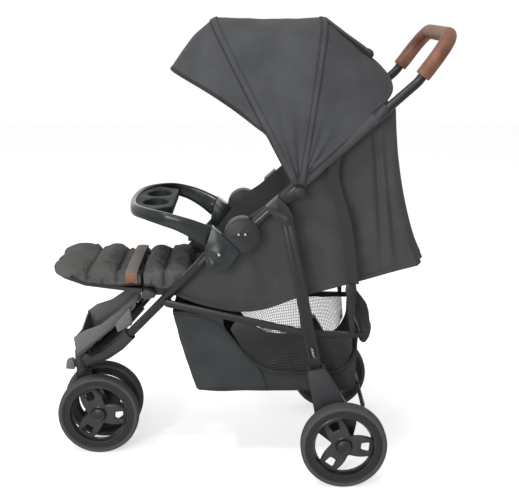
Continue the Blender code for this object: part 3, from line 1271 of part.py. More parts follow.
def flap_seam(turn, inset):
    """Sewn edge of the window flap, just behind the rear bow and on the canopy's back."""
    lift = CANOPY_CLOTH + GAP
    at_bow = bow_edge(BOW_REAR_ANGLE, BOW_REAR_LENGTH, -BOW_WIDTH / 2 - GAP)(turn, inset - lift)
    at_rear = rear_edge(turn, inset - lift)
    return at_bow + (at_rear - at_bow).normalized() * FLAP_SEAM


def build_canopy():
    """Bows, cloth stretches, visor and the window flap behind."""
    rear_eye = TUBE_X + TUBE_RADIUS + 0.0018 + GAP
    front_eye = rear_eye + BOW_THICKNESS + GAP
    inside = CANOPY_CLOTH + GAP
    bow("bow_rear", "bow_rear", BOW_REAR_ANGLE, BOW_REAR_LENGTH - inside, rear_eye)
    bow("bow_front", "bow_front", BOW_FRONT_ANGLE, BOW_FRONT_LENGTH - inside, front_eye)
    half = BOW_WIDTH / 2
    cloth_between("canopy_middle", "bow_rear", bow_edge(BOW_REAR_ANGLE, BOW_REAR_LENGTH, half + GAP),
                  bow_edge(BOW_FRONT_ANGLE, BOW_FRONT_LENGTH, -half - GAP), 0.055, rows=4)
    cloth_between("canopy_visor", "bow_front", bow_edge(BOW_FRONT_ANGLE, BOW_FRONT_LENGTH, half + GAP),
                  visor_edge, 0.16, rows=4, bulge=0.006)
    behind_bow = bow_edge(BOW_REAR_ANGLE, BOW_REAR_LENGTH, -half - GAP)
    cloth_between("canopy_back", "upper_frame", rear_edge, behind_bow, 0.055, rows=4)
    cloth_between("window_flap", "window_flap", flap_edge, flap_seam, FLAP_START_TURN, rows=3, count=9)


def build_stroller():
    """Every piece of the stroller, in order from the handle down."""
    build_pivots()
    build_handle()
    build_hubs()
    build_armrests()
    build_brackets()
    build_tray()
    build_front_legs()
    build_crown()
    build_footrest()
    build_caster()
    build_wheels()
    build_rear_frame()
    build_rails()
    build_basket()
    build_seat()
    build_seat_pad()
    build_legrest()
    build_backrest()
    build_harness()
    build_side_panels()
    build_back_curtain()
    build_straps()
    build_canopy()


build_stroller()
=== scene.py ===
"""Looks of a three-wheeled folding stroller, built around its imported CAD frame.

Metres, +Z up, the child faces -Y and the handle is at +Y. A side-view point is a (y, z) pair with y
measured from the rear axle, as in the part's source; spot() turns it into a place in the model.
"""
import json
import logging
import math
from dataclasses import dataclass
from enum import Enum
from typing import Any, Callable, Optional, Sequence

import bmesh
import bpy
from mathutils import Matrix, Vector, noise

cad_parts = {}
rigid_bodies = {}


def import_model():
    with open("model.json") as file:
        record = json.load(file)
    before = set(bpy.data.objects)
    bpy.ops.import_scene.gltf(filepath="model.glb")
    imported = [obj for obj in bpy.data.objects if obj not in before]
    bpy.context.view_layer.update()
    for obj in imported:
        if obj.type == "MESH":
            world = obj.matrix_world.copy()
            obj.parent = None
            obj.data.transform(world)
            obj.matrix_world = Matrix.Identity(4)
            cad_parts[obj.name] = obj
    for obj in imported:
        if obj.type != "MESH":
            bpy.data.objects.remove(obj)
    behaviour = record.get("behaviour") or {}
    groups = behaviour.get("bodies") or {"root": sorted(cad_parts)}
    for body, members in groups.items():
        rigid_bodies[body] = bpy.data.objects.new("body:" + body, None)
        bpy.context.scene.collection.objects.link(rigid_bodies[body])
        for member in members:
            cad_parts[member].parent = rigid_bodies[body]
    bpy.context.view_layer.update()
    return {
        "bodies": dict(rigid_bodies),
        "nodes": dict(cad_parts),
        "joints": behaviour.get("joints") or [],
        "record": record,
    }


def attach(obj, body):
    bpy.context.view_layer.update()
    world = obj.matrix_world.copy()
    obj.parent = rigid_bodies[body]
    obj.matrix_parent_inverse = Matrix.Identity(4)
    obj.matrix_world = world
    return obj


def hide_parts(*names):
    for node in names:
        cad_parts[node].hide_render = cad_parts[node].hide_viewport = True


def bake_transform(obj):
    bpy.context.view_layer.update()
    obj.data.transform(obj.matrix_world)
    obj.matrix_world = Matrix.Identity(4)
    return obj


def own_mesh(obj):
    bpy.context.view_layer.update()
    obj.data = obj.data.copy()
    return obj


LOG = logging.getLogger("stroller")
Point = tuple[float, float]
Point3 = tuple[float, float, float]
Place = Callable[[float, float], Vector]
Section = Callable[[float, float], Point]
Line = Callable[[float], Vector]
Mesh = bmesh.types.BMesh
Vert = bmesh.types.BMVert
Edge = bmesh.types.BMEdge
Tree = bpy.types.NodeTree
Node = bpy.types.Node
Item = bpy.types.Object
Socket = bpy.types.NodeSocket

REAR_AXLE_Y = 0.225
TUBE_X = 0.178
TUBE_RADIUS = 0.0105
HUB = (-0.233, 0.585)
TUBE_BEND = (0.152, 0.925)
CANOPY_HINGE = (-0.104, 0.685)
BACK_PIVOT = (-0.181, 0.430)
BACK_SLOPE = 16.0
CHANNEL = 0.07525
CHANNEL_START = 0.034


class Slot(Enum):
    """Material slots of the record."""

    FRAME = "frame_black"
    HOUSING = "housing_black"
    TRAY = "tray_gloss"
    FOOTREST = "footrest_grey"
    SHELL = "shell_cloth"
    PAD = "pad_cloth"
    WEBBING = "webbing"
    BASKET = "basket_cloth"
    LEATHER = "tan_leather"
    TYRE = "tyre_foam"
    RIM = "rim_black"
    STEEL = "bright_steel"


class Side(Enum):
    """The two sides of the stroller: near is +X, towards the photograph's camera."""

    NEAR = ("near", 1.0)
    FAR = ("far", -1.0)

    @property
    def word(self) -> str:
        """Name used in piece names."""
        return self.value[0]

    @property
    def sign(self) -> float:
        """Sign of x on this side."""
        return self.value[1]


# Places and paths

def spot(x: float, point: Point) -> Vector:
    """World place of a side-view point at a given x."""
    return Vector((x, point[0] + REAR_AXLE_Y, point[1]))


def unit(start: Point, end: Point) -> Point:
    """Unit side-view direction from start to end."""
    dy, dz = end[0] - start[0], end[1] - start[1]
    length = math.hypot(dy, dz)
    return dy / length, dz / length


def along(start: Point, direction: Point, distance: float, offset: float = 0.0) -> Point:
    """Point at a distance along a side-view direction, and an offset to its right."""
    return (start[0] + direction[0] * distance + direction[1] * offset,
            start[1] + direction[1] * distance - direction[0] * offset)


def polar(centre: Point, radius: float, degrees: float) -> Point:
    """Side-view point at a radius and an angle from a centre."""
    turn = math.radians(degrees)
    return centre[0] + radius * math.cos(turn), centre[1] + radius * math.sin(turn)


def flipped(place: Vector, sign: float) -> Vector:
    """Place with its x turned to the given side."""
    return Vector((place.x * sign, place.y, place.z))


def smooth(share: float) -> float:
    """Smooth step of a share held between 0 and 1."""
    share = min(max(share, 0.0), 1.0)
    return share * share * (3 - 2 * share)


def hump(share: float, power: float = 1.0) -> float:
    """Half wave that is 0 at shares 0 and 1 and 1 in the middle, raised to a power."""
    return max(math.sin(math.pi * min(max(share, 0.0), 1.0)), 0.0) ** power


def rounded(points: Sequence[Vector], radii: Sequence[float], steps: int = 14) -> list[Vector]:
    """Path through points with each inner corner replaced by an arc.

    Args:
        points: Corners of the path.
        radii: Arc radius at each inner corner.
        steps: Number of steps in each arc.

    Returns:
        The path's points.
    """
    path = [points[0]]
    for before, corner, after, radius in zip(points, points[1:], points[2:], radii):
        back = (before - corner).normalized()
        forth = (after - corner).normalized()
        half = back.angle(forth) / 2
        reach = radius / math.tan(half)
        centre = corner + (back + forth).normalized() * (radius / math.sin(half))
        start = corner + back * reach - centre
        end = corner + forth * reach - centre
        turn = start.angle(end)
        for step in range(steps + 1):
            share = step / steps
            path.append(centre + start * (math.sin((1 - share) * turn) / math.sin(turn))
                        + end * (math.sin(share * turn) / math.sin(turn)))
    path.append(points[-1])
    return path


def curve_through(points: Sequence[Vector], count: int) -> list[Vector]:
    """Even samples of a smooth curve through points.

    Args:
        points: Places that the curve passes through.
        count: Number of samples.

    Returns:
        The samples from the first point to the last.
    """
    last = len(points) - 1
    samples = []
    for index in range(count):
        position = last * index / (count - 1)
        step = min(int(position), last - 1)
        t = position - step
        a, b, c, d = (points[min(max(step + shift, 0), last)] for shift in (-1, 0, 1, 2))
        samples.append(0.5 * ((2 * b) + (c - a) * t + (2 * a - 5 * b + 4 * c - d) * t * t
                              + (3 * b - a - 3 * c + d) * t ** 3))
    return samples


# Mesh builders

def only(items: Sequence[Any], kind: type) -> list[Any]:
    """Items of one kind out of what a mesh operator made."""
    return [item for item in items if isinstance(item, kind)]


def ring_of_edges(bm: Mesh, places: Sequence[Any]) -> list[Edge]:
    """Closed loop of new edges through places."""
    verts = [bm.verts.new(place) for place in places]
    return [bm.edges.new((verts[index - 1], verts[index])) for index in range(len(verts))]


def placed(name: str, data: Any) -> Item:
    """New object of the given data, linked to the scene."""
    item = bpy.data.objects.new(name, data)
    bpy.context.scene.collection.objects.link(item)
    return item


def mesh_of(name: str, bm: Mesh) -> bpy.types.Mesh:
    """Mesh data made from a bmesh, which is freed."""
    mesh = bpy.data.meshes.new(name)
    bm.to_mesh(mesh)
    bm.free()
    return mesh


def mapped_grid(columns: int, rows: int, place: Place, size: Point = (1.0, 1.0),
                welded: bool = False) -> Mesh:
    """Grid laid over a surface, with its own UV map in metres.

    Args:
        columns: Faces across.
        rows: Faces along.
        place: Gives a place for shares (u, v) from 0 to 1.
        size: Width and length that the UV map covers, in metres.
        welded: Joins edges that meet and closes open ends, for a tube.

    Returns:
        The mesh.
    """
    bm = bmesh.new()
    pattern = bm.loops.layers.uv.new("pattern")
    bmesh.ops.create_grid(bm, x_segments=columns, y_segments=rows, size=1.0)
    reach = max(vert.co.x for vert in bm.verts)
    shares = {vert: tuple(min(max((way / reach + 1) / 2, 0.0), 1.0) for way in vert.co.xy)
              for vert in bm.verts}
    for face in bm.faces:
        for loop in face.loops:
            u, v = shares[loop.vert]
            loop[pattern].uv = (u * size[0], v * size[1])
    for vert, (u, v) in shares.items():
        vert.co = place(u, v)
    if welded:
        bmesh.ops.remove_doubles(bm, verts=bm.verts, dist=1e-6)
        bmesh.ops.holes_fill(bm, edges=bm.edges, sides=0)
        bmesh.ops.recalc_face_normals(bm, faces=bm.faces)
    return bm


def path_frames(path: Sequence[Vector], up: Vector) -> list[tuple[Vector, Vector, Vector]]:
    """Point, side and other direction at each point of a path, turned as little as possible."""
    frames = []
    for index, point in enumerate(path):
        tangent = (path[min(index + 1, len(path) - 1)] - path[max(index - 1, 0)]).normalized()
        up = (up - tangent * up.dot(tangent)).normalized()
        frames.append((point, up, tangent.cross(up)))
    return frames


def swept(path: Sequence[Vector], section: Section, sides: int = 20, up: Optional[Vector] = None) -> Mesh:
    """Closed body that carries a section along a path.

    Args:
        path: Points of the centre line.
        section: Gives the offset (side, other) for a turn in radians and a share of the length.
        sides: Number of points round the section.
        up: First direction of the section's side.

    Returns:
        The mesh with capped ends.
    """
    frames = path_frames(path, up or Vector((1, 0, 0)))
    last = len(path) - 1
    length = sum((b - a).length for a, b in zip(path, path[1:]))

    def place(u: float, v: float) -> Vector:
        point, side, other = frames[round(v * last)]
        across, over = section(2 * math.pi * u, v)
        return point + side * across + other * over

    return mapped_grid(sides, last, place, (2 * math.pi * 0.01, length), welded=True)


def round_bar(radius: float) -> Section:
    """Section of a round bar."""
    return lambda turn, _: (radius * math.cos(turn), radius * math.sin(turn))


def turned(profile: Sequence[Point], x: float, centre: Point, sign: float = 1.0, steps: int = 72) -> Mesh:
    """Turned body about an X axis.

    Args:
        profile: (x offset, radius) points; a closed profile repeats its first point.
        x: Place of the body's middle across the stroller.
        centre: Side-view point of the axis.
        sign: Side that the body is on.
        steps: Steps of the full turn.

    Returns:
        The mesh.
    """
    bm = bmesh.new()
    verts = [bm.verts.new(spot(sign * (x + dx), (centre[0], centre[1] + radius))) for dx, radius in profile]
    edges = [bm.edges.new(pair) for pair in zip(verts, verts[1:])]
    bmesh.ops.spin(bm, geom=verts + edges, cent=spot(0.0, centre), axis=(1, 0, 0),
                   angle=2 * math.pi, steps=steps, use_merge=True, use_duplicate=False)
    bmesh.ops.remove_doubles(bm, verts=bm.verts, dist=1e-6)
    bmesh.ops.recalc_face_normals(bm, faces=bm.faces)
    return bm


def moulded(outline: Sequence[Point], low: float, high: float, edge: float = 0.001, steps: int = 2) -> Mesh:
    """Side-view outline given a thickness across X and rounded edges.

    Args:
        outline: Side-view points in order.
        low: Lower x.
        high: Upper x.
        edge: Radius of the edges, none when 0.
        steps: Segments of the edge.

    Returns:
        The mesh.
    """
    bm = bmesh.new()
    face = bm.faces.new([bm.verts.new(spot(low, point)) for point in outline])
    made = bmesh.ops.extrude_face_region(bm, geom=[face])["geom"]
    bmesh.ops.translate(bm, verts=only(made, Vert), vec=(high - low, 0, 0))
    bmesh.ops.recalc_face_normals(bm, faces=bm.faces)
    if edge:
        soften(bm, edge, steps)
    return bm


def soften(bm: Mesh, radius: float, steps: int = 2, angle: float = 30.0) -> None:
    """Bevel the sharp edges of a closed mesh."""
    sharp = [edge for edge in bm.edges
             if len(edge.link_faces) == 2 and edge.calc_face_angle(0.0) > math.radians(angle)]
    bmesh.ops.bevel(bm, geom=sharp, offset=radius, offset_type="OFFSET", segments=steps, profile=0.5,
                    affect="EDGES", clamp_overlap=True, material=-1)


def joined(shapes: Sequence[Mesh]) -> Mesh:
    """Several meshes as one."""
    whole = bmesh.new()
    whole.loops.layers.uv.new("pattern")
    for shape in shapes:
        mesh = mesh_of("shape", shape)
        whole.from_mesh(mesh)
        bpy.data.meshes.remove(mesh)
    return whole


def crumple(bm: Mesh, height: float, size: Vector, seed: float) -> None:
    """Push a mesh in and out along its normals with soft noise.

    Args:
        bm: Mesh to change.
        height: Largest move in metres.
        size: Size of a wrinkle along x, y and z, in metres.
        seed: Shift of the pattern.
    """
    bm.normal_update()
    moves = []
    for vert in bm.verts:
        sample = Vector((vert.co.x / size.x + seed, vert.co.y / size.y, vert.co.z / size.z))
        moves.append(vert.normal * (noise.noise(sample) * height))
    for vert, move in zip(bm.verts, moves):
        vert.co += move


# Finishes

def hex_colour(text: str) -> tuple[float, float, float, float]:
    """Linear colour of an sRGB hex value such as #808080."""
    values = [int(text[index:index + 2], 16) / 255 for index in (1, 3, 5)]
    return (*(v / 12.92 if v <= 0.04045 else ((v + 0.055) / 1.055) ** 2.4 for v in values), 1.0)


def add_node(tree: Tree, kind: str, feeds: Optional[dict[Any, Any]] = None,
             **settings: Any) -> Node:
    """Add one shader node.

    Args:
        tree: Tree that gets the node.
        kind: Type name of the node.
        feeds: Value or feeding socket for each of its inputs.
        settings: Properties of the node.

    Returns:
        The node.
    """
    made = tree.nodes.new(kind)
    for name, value in settings.items():
        setattr(made, name, value)
    for key, value in (feeds or {}).items():
        if isinstance(value, bpy.types.NodeSocket):
            tree.links.new(value, made.inputs[key])
        else:
            made.inputs[key].default_value = value
    return made


def blank(name: str, **values: Any) -> tuple[bpy.types.Material, Tree, Node]:
    """New material with one Principled shader, and its tree and shader."""
    made = bpy.data.materials.new(name)
    made.use_nodes = True
    tree = made.node_tree
    shader = tree.nodes["Principled BSDF"]
    for key, value in values.items():
        shader.inputs[key.replace("_", " ")].default_value = value
    return made, tree, shader


def tint(tree: Tree, shader: Node, factor: Socket, first: str, second: str) -> None:
    """Colour a shader between two hex colours by a factor."""
    feeds = {0: factor, 6: hex_colour(first), 7: hex_colour(second)}
    mix = add_node(tree, "ShaderNodeMix", feeds, data_type="RGBA")
    tree.links.new(mix.outputs[2], shader.inputs["Base Color"])


def reckon(tree: Tree, operation: str, first: Any, second: Any) -> Socket:
    """Result of one sum on two sockets or values."""
    return add_node(tree, "ShaderNodeMath", {0: first, 1: second}, operation=operation).outputs[0]


def spread(tree: Tree, value: Socket, low: float, high: float, least: float = 0.0,
           most: float = 1.0) -> Socket:
    """Value whose range from low to high is spread from least to most."""
    limits = {"Value": value, 1: low, 2: high, 3: least, 4: most}
    return add_node(tree, "ShaderNodeMapRange", limits).outputs[0]


def cloud(tree: Tree, place: Socket, scale: float, detail: float = 2.0) -> Socket:
    """Soft noise as a factor."""
    feeds = {"Vector": place, "Scale": scale, "Detail": detail}
    return add_node(tree, "ShaderNodeTexNoise", feeds).outputs["Fac"]


def threads(tree: Tree, place: Socket, pitch: float, way: str) -> Socket:
    """Bands across one direction at a pitch; at scale 1 Blender's wave turns 20 radians in a metre."""
    feeds = {"Vector": place, "Scale": 2 * math.pi / (20 * pitch)}
    return add_node(tree, "ShaderNodeTexWave", feeds, bands_direction=way).outputs["Fac"]


def emboss(tree: Tree, shader: Node, height: Socket, strength: float, distance: float) -> None:
    """Let a height stand out of a shader's surface."""
    bump = add_node(tree, "ShaderNodeBump", {"Height": height, "Strength": strength, "Distance": distance})
    tree.links.new(bump.outputs[0], shader.inputs["Normal"])


@dataclass(frozen=True)
class Woven:
    """Woven polyester: matt, a grid of threads, uneven dye and a faint sheen at grazing angles."""

    name: str
    colour: str
    light: str
    thread: float = 0.0022
    depth: float = 0.35
    relief: float = 0.0004
    sheen: float = 0.15
    slub: float = 900.0
    dye: float = 14.0
    on_uv: bool = True

    def build(self) -> bpy.types.Material:
        """Material; real threads are 0.3 mm apart and are drawn coarser so that they show."""
        made, tree, shader = blank(self.name, Roughness=0.92, Sheen_Weight=self.sheen, Sheen_Roughness=0.5,
                                   Specular_IOR_Level=0.25)
        shader.inputs["Sheen Tint"].default_value = hex_colour(self.light)
        place = add_node(tree, "ShaderNodeTexCoord").outputs
        solid = place["Object"]
        warp, weft = (threads(tree, place["UV"] if self.on_uv else solid, self.thread, way) for way in "XY")
        slub = cloud(tree, solid, self.slub)
        fibre = reckon(tree, "MULTIPLY", slub, cloud(tree, solid, self.dye, 3.0))
        tint(tree, shader, spread(tree, fibre, 0.12, 0.42), self.colour, self.light)
        relief = reckon(tree, "ADD", reckon(tree, "MAXIMUM", warp, weft), slub)
        emboss(tree, shader, relief, self.depth, self.relief)
        return made


@dataclass(frozen=True)
class Moulded:
    """Injection-moulded plastic: fine spark grain, a soft highlight, and slightly paler sharp edges that are
    partly rubbed wear and partly a painted edge highlight.
    """

    name: str
    colour: str
    rubbed: str
    roughness: float = 0.45
    grain: float = 0.0010
    depth: float = 0.12
    relief: float = 0.0002
    wear: float = 22.0
    coat: float = 0.0
    shine: float = 0.22

    def build(self) -> bpy.types.Material:
        """Material with its grain and its paler edges, which mix rubbed wear with a painted edge highlight.
        """
        made, tree, shader = blank(self.name, Specular_IOR_Level=self.shine, Coat_Weight=self.coat,
                                   Coat_Roughness=0.08, Coat_IOR=1.25)
        solid = add_node(tree, "ShaderNodeTexCoord").outputs["Object"]
        wear = cloud(tree, solid, self.wear, 4.0)
        # Paler colour on sharp convex edges, varied in patches: partly rubbed wear, partly a painted edge
        # highlight.
        corner = add_node(tree, "ShaderNodeNewGeometry").outputs["Pointiness"]
        worn_and_highlit = reckon(tree, "MULTIPLY", spread(tree, corner, 0.52, 0.62), wear)
        tint(tree, shader, worn_and_highlit, self.colour, self.rubbed)
        gloss = spread(tree, wear, 0.3, 0.7, self.roughness - 0.05, self.roughness + 0.07)
        tree.links.new(gloss, shader.inputs["Roughness"])
        emboss(tree, shader, cloud(tree, solid, 1 / self.grain, 3.0), self.depth, self.relief)
        return made


@dataclass(frozen=True)
class Leather:
    """Embossed leather-look grip: pebbled grain, warm colour that darkens where hands rub, satin gloss."""

    name: str
    colour: str
    dark: str
    pebbles: float = 620.0
    mottle: float = 35.0
    depth: float = 0.35
    relief: float = 0.0003

    def build(self) -> bpy.types.Material:
        """Material with pebbles about 1.6 mm across."""
        made, tree, shader = blank(self.name, Roughness=0.5, IOR=1.5)
        solid = add_node(tree, "ShaderNodeTexCoord").outputs["Object"]
        cells = {"Vector": solid, "Scale": self.pebbles}
        pebble = add_node(tree, "ShaderNodeTexVoronoi", cells, feature="DISTANCE_TO_EDGE")
        crease = spread(tree, pebble.outputs["Distance"], 0.0, 0.25)
        mottle = spread(tree, cloud(tree, solid, self.mottle, 5.0), 0.35, 0.68)
        tint(tree, shader, reckon(tree, "MULTIPLY", crease, mottle), self.dark, self.colour)
        emboss(tree, shader, crease, self.depth, self.relief)
        return made


@dataclass(frozen=True)
class Metal:
    """Bright drawn steel: thin scratches and a narrow highlight."""

    name: str
    colour: str
    roughness: float
    scratches: float = 300.0

    def build(self) -> bpy.types.Material:
        """Material with uneven polish."""
        made, tree, shader = blank(self.name, Metallic=1.0, Base_Color=hex_colour(self.colour))
        polish = cloud(tree, add_node(tree, "ShaderNodeTexCoord").outputs["Object"], self.scratches, 3.0)
        rough = spread(tree, polish, 0.0, 1.0, self.roughness - 0.08, self.roughness + 0.12)
        tree.links.new(rough, shader.inputs["Roughness"])
        return made


@dataclass(frozen=True)
class Belt:
    """Black woven webbing: tight ribs across the belt, matt with a slight nylon glint."""

    name: str
    colour: str
    light: str
    rib: float = 0.0022
    fluff: float = 700.0
    depth: float = 0.5
    relief: float = 0.0005

    def build(self) -> bpy.types.Material:
        """Material with ribs on the belt's own map; real ribs are half as wide."""
        made, tree, shader = blank(self.name, Roughness=0.7, Sheen_Weight=0.05)
        place = add_node(tree, "ShaderNodeTexCoord").outputs
        rib = threads(tree, place["UV"], self.rib, "Y")
        mixed = reckon(tree, "MULTIPLY", rib, cloud(tree, place["Object"], self.fluff))
        tint(tree, shader, mixed, self.colour, self.light)
        emboss(tree, shader, mixed, self.depth, self.relief)
        return made


CANOPY_CLOTH = Woven("canopy_polyester", "#3C3D3F", "#4A4B4D")
SEAT_CLOTH = Woven("seat_polyester", "#393A3B", "#464748")
PAD_CLOTH = Woven("quilted_polyester", "#464645", "#5A5A58", thread=0.003, depth=0.5, on_uv=False)
HEM_CLOTH = Woven("hem_tape", "#262729", "#333436", thread=0.0016)
LINING = Woven("dark_lining", "#1F2022", "#2C2D2F")
BASKET_CLOTH = Woven("basket_polyester", "#2E3030", "#3C3E3E")
BASKET_PANEL = Woven("basket_front_panel", "#2F3132", "#3D4041")
NET_YARN = Woven("net_yarn", "#3A3B3C", "#4A4B4C", thread=0.0008)
BLACK_PAINT = Moulded("black_powder_coat", "#1C1C1E", "#38383A", roughness=0.26, grain=0.0016, depth=0.05,
                      shine=0.30)
BLACK_PLASTIC = Moulded("black_nylon", "#262729", "#46474A", roughness=0.36)
TRAY_PLASTIC = Moulded("gloss_black_abs", "#1A2020", "#2F3737", roughness=0.22, depth=0.03, coat=0.45,
                       shine=0.30)
DECK_PLASTIC = Moulded("satin_black_abs", "#1C2020", "#303535", roughness=0.5, depth=0.03, shine=0.12)
GREY_PLASTIC = Moulded("grey_polypropylene", "#5C5D5E", "#7A7C7D", roughness=0.42)
# The rim's edge colour is far paler than its body: it paints the bright highlight lines along the star's
# chamfers.
RIM_PLASTIC = Moulded("rim_nylon", "#1D1E1F", "#5A5B5C", roughness=0.30, shine=0.35)
TYRE_FOAM = Moulded("tyre_foam", "#454547", "#535355", roughness=0.78, grain=0.0022, depth=0.3)
TAN_LEATHER = Leather("tan_leather", "#9C6440", "#5C3727")
LADDER_STRAP = Woven("taupe_webbing", "#6B6560", "#847C76", thread=0.0018)
GRIP_THREAD = Woven("grip_thread", "#4A3226", "#6A4A38", thread=0.0006)
STEEL = Metal("bright_steel", "#A4A5A6", 0.32)
WEBBING = Belt("black_webbing", "#0A0B0C", "#1A1B1C")


class Workshop:
    """Holds the frame and its finishes, and turns meshes into pieces that ride on its bodies."""

    def __init__(self, frame: dict[str, Any]) -> None:
        """Read which body each CAD node is on."""
        self.nodes = frame["nodes"]
        bodies = frame["record"]["behaviour"]["bodies"]
        self.body_of = {node: body for body, group in bodies.items() for node in group}
        self.finishes: dict[Any, bpy.types.Material] = {}

    def finish(self, kind: Any) -> bpy.types.Material:
        """Material of a finish, built once."""
        if kind not in self.finishes:
            self.finishes[kind] = kind.build()
        return self.finishes[kind]

    def settle(self, item: Item, body: Optional[str], kind: Any, slot: Slot,
               stands_for: Sequence[str] = ()) -> Item:
        """Give an object its finish and body, and hide the CAD nodes that it replaces."""
        item.data.materials.clear()
        item.data.materials.append(self.finish(kind))
        if body:
            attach(item, body)
        if stands_for:
            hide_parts(*stands_for)
        LOG.info("piece %s on %s", item.name, body or "two bodies")
        return item

    def piece(self, name: str, bm: Mesh, body: Optional[str], kind: Any, slot: Slot,
              stands_for: Sequence[str] = (), thick: float = 0.0, sharp: float = 40.0) -> Item:
        """Make a piece from a mesh.

        Args:
            name: Name of the piece.
            bm: Its mesh, freed here.
            body: CAD body that carries it, or None for cloth that spans two bodies, which then rides on
                neither.
            kind: Its finish.
            slot: The record's material slot; not used.
            stands_for: CAD nodes that it replaces.
            thick: Cloth thickness given inwards to an open sheet.
            sharp: Angle in degrees past which an edge is shaded sharp.

        Returns:
            The object.
        """
        mesh = mesh_of(name, bm)
        mesh.shade_smooth()
        mesh.set_sharp_from_angle(angle=math.radians(sharp))
        item = placed(name, mesh)
        if thick:
            wall = item.modifiers.new("cloth", "SOLIDIFY")
            wall.thickness = thick
            wall.offset = -1.0
        return self.settle(item, body, kind, slot, stands_for)

    def copy_of(self, node: str) -> Mesh:
        """Merged copy of a CAD node's mesh, with flat faces whole again."""
        bm = bmesh.new()
        bm.from_mesh(self.nodes[node].data)
        bmesh.ops.remove_doubles(bm, verts=bm.verts, dist=1e-5)
        bmesh.ops.dissolve_limit(bm, angle_limit=math.radians(1.0), verts=bm.verts, edges=bm.edges)
        return bm

    def eased(self, node: str, kind: Any, slot: Slot, radius: float = 0.0009) -> Item:
        """Copy of a rigid CAD node with rounded edges, which replaces it."""
        bm = self.copy_of(node)
        soften(bm, radius)
        return self.piece(f"{node}_eased", bm, self.body_of[node], kind, slot, [node], sharp=50.0)

    def dress(self, node: str, kind: Any) -> None:
        """Give a CAD node that stays a better material."""
        data = self.nodes[node].data
        data.materials.clear()
        data.materials.append(self.finish(kind))


# Frame

@dataclass
class Handle:
    """Push handle: one bent tube, its leather grip and the cloth sleeves below the canopy's clips."""

    top: Point = (0.225, 1.024)
    corner: float = 0.060
    bend: float = 0.080
    socket: float = 0.0203
    grip_radius: float = 0.017
    grip_from_bend: float = 0.016
    groove_depth: float = 0.0008
    groove_turn: float = 0.09
    end_depth: float = 0.0009
    end_share: float = 0.012
    stitch_pitch: float = 0.008
    stitch_reach: Point = (0.0020, 0.0012)
    stitch_sink: float = 0.0002
    thread_radius: float = 0.00045
    sleeve_span: Point = (0.172, 0.3945)
    sleeve_radius: float = 0.0128

    def line(self, start: Point) -> list[Vector]:
        """Centre line of the U from a point on the near arm to the same point on the far arm."""
        corners = [spot(TUBE_X, start), spot(TUBE_X, self.top), spot(-TUBE_X, self.top), spot(-TUBE_X, start)]
        radii = [self.corner, self.corner]
        if start[1] < TUBE_BEND[1]:
            near, far = spot(TUBE_X, TUBE_BEND), spot(-TUBE_X, TUBE_BEND)
            corners = [corners[0], near, *corners[1:3], far, corners[3]]
            radii = [self.bend, *radii, self.bend]
        return rounded(corners, radii)

    def grip_section(self, turn: float, share: float) -> Point:
        """Round section with a shallow sewn groove on the inner side and slightly drawn-in ends."""
        groove = self.groove_depth * math.exp(-((turn - math.pi) / self.groove_turn) ** 2)
        ends = self.end_depth * sum(math.exp(-(gap / self.end_share) ** 2) for gap in (share, 1 - share))
        radius = self.grip_radius - groove - ends
        return radius * math.cos(turn), radius * math.sin(turn)

    def stitches(self, path: Sequence[Vector]) -> Mesh:
        """Row of slanted stitches over the grip's seam."""
        total = sum((b - a).length for a, b in zip(path, path[1:]))
        points = curve_through(path, int(total / self.stitch_pitch))
        shapes = []
        for point, side, other in path_frames(points, Vector((1, 0, 0)))[2:-2]:
            middle = point - side * (self.grip_radius - self.stitch_sink)
            reach = other * self.stitch_reach[0] + side.cross(other) * self.stitch_reach[1]
            shapes.append(swept([middle - reach, middle + reach], round_bar(self.thread_radius), 6, side))
        return joined(shapes)

    def build(self, shop: Workshop) -> None:
        """Make the tube, the grip with its stitches, and the sleeves."""
        way = unit(HUB, TUBE_BEND)
        tube = swept(self.line(along(HUB, way, self.socket)), round_bar(TUBE_RADIUS), 28)
        shop.piece("handle_tube_round", tube, "upper_frame", BLACK_PAINT, Slot.FRAME, ["handle_tube"])
        start = along(TUBE_BEND, unit(TUBE_BEND, self.top), self.grip_from_bend)
        path = self.line(start)
        fine = [path[0].lerp(path[1], step / 20) for step in range(20)] + path[1:-2]
        fine += [path[-2].lerp(path[-1], step / 20) for step in range(21)]
        grip = swept(fine, self.grip_section, 40)
        crumple(grip, 0.0006, Vector((0.03, 0.03, 0.03)), 3.0)
        shop.piece("handle_grip_leather", grip, "upper_frame", TAN_LEATHER, Slot.LEATHER, ["handle_grip"])
        shop.piece("grip_stitches", self.stitches(path), "upper_frame", GRIP_THREAD, Slot.LEATHER)
        for side in Side:
            low, high = self.sleeve_span
            ends = [spot(side.sign * TUBE_X, along(HUB, way, low + (high - low) * step / 30))
                    for step in range(31)]
            wrap = swept(ends, round_bar(self.sleeve_radius), 24)
            crumple(wrap, 0.0012, Vector((0.02, 0.03, 0.03)), side.sign * 7.0)
            shop.piece(f"tube_sleeve_{side.word}", wrap, "upper_frame", CANOPY_CLOTH, Slot.SHELL)
            shop.eased(f"canopy_clip_{side.word}", BLACK_PLASTIC, Slot.HOUSING)


